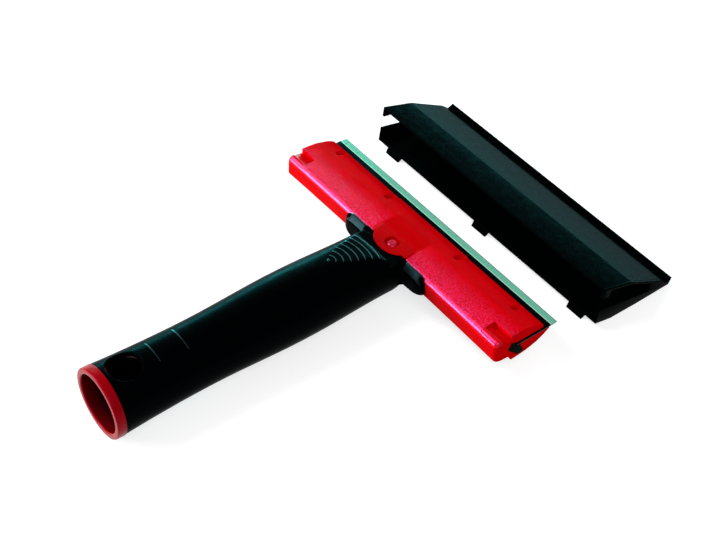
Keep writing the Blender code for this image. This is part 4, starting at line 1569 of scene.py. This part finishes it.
    def stud_piece(self) -> bpy.types.Object:
        """The formed stud: a turned dome with a shallow dish in its middle, its foot under the head.

        Returns:
            The piece.
        """
        skin = Skin()
        seat = self.tongue_top - self.stud_seat
        top = seat + self.stud_high
        head, shank, foot = self.stud_r
        under, over = self.stud_foot
        angles = np.radians(np.arange(0, 360, 7.5))
        rise = np.linspace(0, pi / 2, 7)[:-1]
        dish_r, dish_z = np.array(self.stud_dish).T
        radius = np.concatenate([[foot, foot, shank, shank, head], head * np.cos(rise), dish_r])[:, None]
        height = np.concatenate([[under, over, over, seat - 0.05, seat - 0.05], seat + self.stud_high * np.sin(rise),
                                 top - dish_z])[:, None]
        points = np.stack([self.stud[0] + radius * np.cos(angles), self.stud[1] + radius * np.sin(angles),
                           height + 0 * angles], axis=-1)
        grid = skin.add(points)
        skin.mesh_grid(grid)
        skin.cap(grid[0])
        skin.fan(grid[-1], (self.stud[0], self.stud[1], top - 0.42))
        return skin.finish("stud", 45)

    def liner(self) -> bpy.types.Object:
        """The liner: its section carried along X, with the slit that takes the blade.

        Returns:
            The piece.
        """
        high, rear, front = self.slit
        corners = [(front, high, 0.1), (81.2, 0.95, 0.2), *self.liner_section(0), (81.2, -1.15, 0.2),
                   (front, -0.9, 0.1), (front, -high, 0.05), (rear, -high, 0.05), (rear, high, 0.05)]
        skin = Skin()
        skin.carry(bar(rounded(corners, 4), (-self.half, self.half), np.arange(-70, 71, 10.0), 0.12))
        return skin.finish("liner")

    def build(self) -> None:
        """Makes the head's pieces."""
        place_piece(self.body(), Body.SCRAPER, "head_red", HEAD_RED, "scraper_head")
        place_piece(self.tongue(), Body.SCRAPER, "head_red", PAD_RED)
        place_piece(self.stud_piece(), Body.SCRAPER, "stud_red", STUD_RED, "head_stud")
        place_piece(self.liner(), Body.SCRAPER, "liner_black", LINER_BLACK, "blade_liner")


@dataclass
class Blade:
    """The steel blade, ground to its edge from both faces.

    Attributes:
        half: half its length.
        rear_y: its rear edge.
        thick: its thickness.
        bevel: width of the ground strips.
        honed: width of the honed strips at the edge.
        honed_thick: the blade's thickness where these start.
        edge_thick: its thickness at the edge.
        edge_round: radius of its section's corners.
    """

    half: float = 75.0
    rear_y: float = 62.0
    thick: float = 0.5
    bevel: float = 3.7
    honed: float = 0.45
    honed_thick: float = 0.18
    edge_thick: float = 0.04
    edge_round: float = 0.05

    def build(self) -> None:
        """Carries the blade's section along X."""
        upper = [(self.rear_y, self.thick), (BLADE_EDGE_Y - self.bevel, self.thick),
                 (BLADE_EDGE_Y - self.honed, self.honed_thick), (BLADE_EDGE_Y, self.edge_thick)]
        corners = [(y, thick / 2, self.edge_round) for y, thick in upper]
        corners += [(y, -thick / 2, self.edge_round) for y, thick in reversed(upper)]
        skin = Skin()
        skin.carry(bar(rounded(corners, 2), (-self.half, self.half), np.arange(-74, 75, 4.0), 0.015, 1))
        place_piece(skin.finish("blade", 2), Body.BLADE, "blade_steel", BLADE_STEEL, "scraper_blade")


@dataclass
class Cover:
    """The black cover where it lies on the table. Its sections' Y counts from the node's rear, in millimetres.

    Attributes:
        half: half its length.
        end_wall: thickness of its end walls.
        end_round: radius of the end walls' edges.
        outer: corners (y, z, radius) of its outside, from the mouth's upper edge over the nose and the flange to
            its lower edge.
        cavity: corners of its inside, from the mouth's lower edge to its upper edge.
        notch: corners of the end walls' notch, from the mouth's lower end to its upper end.
        tab: corners of a tab's section.
        tabs: places of the tabs along X.
        tab_width: their width.
        tab_round: radius of their ends' edges.
    """

    half: float = 77.9
    end_wall: float = 1.4
    end_round: float = 0.3
    outer: tuple = ((3.6, 22.8, 0.3), (21.26, 17.5, 0.5), (43.0, 5.89, 0.5), (47.38, 2.4, 0.6), (50.83, 4.01, 0.25),
                    (49.01, 0.11, 0.25), (40.62, 0.0, 2.0), (27.22, 0.0, 3.0), (11.41, 0.5, 3.0), (1.42, 2.9, 0.3))
    cavity: tuple = ((1.68, 4.08, 0.3), (11.57, 1.69, 2.0), (27.23, 1.2, 3.0), (36.84, 1.2, 0.6), (38.1, 7.15, 0.6),
                     (20.8, 16.39, 0.5), (3.26, 21.63, 0.3))
    notch: tuple = ((2.32, 10.75, 0.3), (34.35, 3.94, 0.3), (35.35, 8.62, 0.4), (20.8, 16.39, 0.5), (7.68, 20.32, 0.3),
                    (6.91, 16.73, 0.3), (2.99, 17.56, 0.3))
    tab: tuple = ((1.42, 2.9, 0.1), (1.54, 3.48, 0.1), (4.67, 2.82, 0.1), (4.55, 2.23, 0.1), (1.4, 0.0, 0.3),
                  (0.0, 0.0, 0.4))
    tabs: tuple = (-65.5, 0.0, 65.5)
    tab_width: float = 9.6
    tab_round: float = 0.35

    def build(self) -> None:
        """Makes the folded wall, both end walls and the tabs as one piece, each a section carried along X."""
        low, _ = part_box("blade_cover")
        shift = np.array([0.0, low.y / MM, low.z / MM])
        skin = Skin()
        inner = self.half - self.end_wall
        overlap = 0.05
        wall = rounded(self.outer + self.cavity, 4)
        skin.carry(carried(wall, np.linspace(-inner - overlap, inner + overlap, 40), np.zeros(40)))
        none_between = np.array([])
        for side in BOTH_SIDES:
            skin.carry(bar(rounded(self.outer + self.notch, 4), (side * inner, side * self.half), none_between,
                           self.end_round))
        for place in self.tabs:
            ends = (place - self.tab_width / 2, place + self.tab_width / 2)
            skin.carry(bar(rounded(self.tab, 3), ends, none_between, self.tab_round))
        place_piece(skin.finish("cover", 30, shift), Body.COVER, "cover_black", COVER_BLACK, "blade_cover")


@dataclass(frozen=True)
class Lamp:
    """A soft lamp that looks at the object.

    Attributes:
        name: its name.
        toward: the direction that it stands in.
        distance: how far away it is, in metres.
        size: its width and height, in metres.
        power: its power in watts.
        tint: the colour of its light.
    """

    name: str
    toward: tuple
    distance: float
    size: tuple
    power: float
    tint: tuple = (1, 1, 1)

    def hang(self) -> None:
        """Makes the lamp and turns it to the object."""
        light = bpy.data.lights.new(self.name, "AREA")
        light.shape = "RECTANGLE"
        light.size, light.size_y = self.size
        light.energy = self.power
        light.color = self.tint
        made = in_scene(self.name, light)
        direction = Vector(self.toward).normalized()
        made.location = direction * self.distance
        made.rotation_euler = direction.to_track_quat("Z", "Y").to_euler()


@dataclass
class Studio:
    """Floor, light and camera.

    Attributes:
        width: the picture's width in pixels.
        focal: the camera's focal length in pixels.
        sensor: width of its sensor in millimetres.
        reach: nearest and farthest distance that it sees, in metres.
        eye: the camera's place in the tool frame, in millimetres.
        right: the picture's right.
        up: the picture's up.
        back: from the scene to the camera.
        floor_half: half the floor's side in metres.
        floor_grey: its colour where the lamps light it.
        floor_glow: what it gives off to the camera and in reflections.
        world_light: strength of the white world.
        lamps: the lamps.
    """

    width: int = 724
    focal: float = 1448.5854
    sensor: float = 36.0
    reach: tuple = (0.01, 20.0)
    eye: tuple = (349.9313, -258.3891, 452.4961)
    right: tuple = (0.61216, 0.78964, 0.04152)
    up: tuple = (-0.57708, 0.41025, 0.70617)
    back: tuple = (0.54058, -0.45625, 0.70683)
    floor_half: float = 6.0
    floor_grey: tuple = (0.5, 0.5, 0.5)
    floor_glow: float = 0.66
    world_light: float = 0.35
    lamps: tuple = (
        Lamp("rear_soft", (-0.54, -0.81, 0.22), 1.2, (0.5, 0.26), 14.0),
        Lamp("fill_soft", (-0.54, -0.4, 0.74), 1.2, (0.45, 0.45), 8.5),
        Lamp("front_soft", (0.6, -0.3, 0.7), 1.5, (1.0, 1.0), 9.5),
        Lamp("top_soft", (-0.54, 0.53, 0.65), 1.3, (0.9, 0.9), 1.3),
        Lamp("side_low", (-0.54, 0.84, 0.055), 1.2, (1.1, 0.12), 9.0, (0.06, 0.9, 0.95)),
        Lamp("side_far", (-0.85, 0.456, 0.12), 1.2, (0.6, 0.2), 15.0, (0.06, 0.95, 1.0)),
    )

    def camera(self) -> None:
        """Sets the camera up at the photograph's place and angle."""
        lens = bpy.data.cameras.new("photo_camera")
        lens.sensor_width = self.sensor
        lens.lens = self.sensor * self.focal / self.width
        lens.clip_start, lens.clip_end = self.reach
        eye = in_scene("photo_camera", lens)
        turn = Matrix((self.right, self.up, self.back)).transposed().to_4x4()
        place = (np.array(self.eye) + SHIFT) * MM
        eye.matrix_world = Matrix.Translation(Vector(place)) @ turn
        bpy.context.scene.camera = eye

    def floor(self) -> None:
        """A pale floor that runs out of sight: it takes shadows, and glows to the camera and in reflections."""
        half = self.floor_half
        mesh = bpy.data.meshes.new("floor")
        corners = [(-half, -half, 0), (half, -half, 0), (half, half, 0), (-half, half, 0)]
        mesh.from_pydata(corners, [], [(0, 1, 2, 3)])
        floor = in_scene("floor", mesh)
        made = bpy.data.materials.new("floor_white")
        made.use_nodes = True
        tree = made.node_tree
        tree.nodes.clear()
        matte = new_node(tree, "ShaderNodeBsdfDiffuse")
        glow = new_node(tree, "ShaderNodeEmission")
        both = new_node(tree, "ShaderNodeAddShader")
        out = new_node(tree, "ShaderNodeOutputMaterial")
        rays = new_node(tree, "ShaderNodeLightPath").outputs
        seen = maths(tree, "MAXIMUM", rays["Is Camera Ray"], rays["Is Glossy Ray"])
        seen = maths(tree, "MAXIMUM", seen, rays["Is Transmission Ray"])
        feed(tree, self.floor_grey, matte.inputs["Color"])
        feed(tree, (1, 1, 1), glow.inputs["Color"])
        feed(tree, maths(tree, "MULTIPLY", seen, self.floor_glow), glow.inputs["Strength"])
        feed(tree, matte.outputs[0], both.inputs[0])
        feed(tree, glow.outputs[0], both.inputs[1])
        feed(tree, both.outputs[0], out.inputs["Surface"])
        mesh.materials.append(made)

    def build(self) -> None:
        """Makes the world, the floor, the lamps and the camera."""
        scene = bpy.context.scene
        scene.view_settings.view_transform = "Standard"
        scene.world = bpy.data.worlds.new("studio_world")
        scene.world.use_nodes = True
        sky = scene.world.node_tree.nodes["Background"]
        sky.inputs["Color"].default_value = (1, 1, 1, 1)
        sky.inputs["Strength"].default_value = self.world_light
        self.floor()
        for lamp in self.lamps:
            lamp.hang()
        self.camera()


def main() -> None:
    """Builds every sub-assembly and the studio, in order."""
    logging.basicConfig(level=logging.INFO, format="%(name)s: %(message)s")
    for part in (Handle(), Head(), Blade(), Cover(), Studio()):
        LOG.info("building %s", type(part).__name__)
        part.build()


if __name__ == "__main__":
    main()
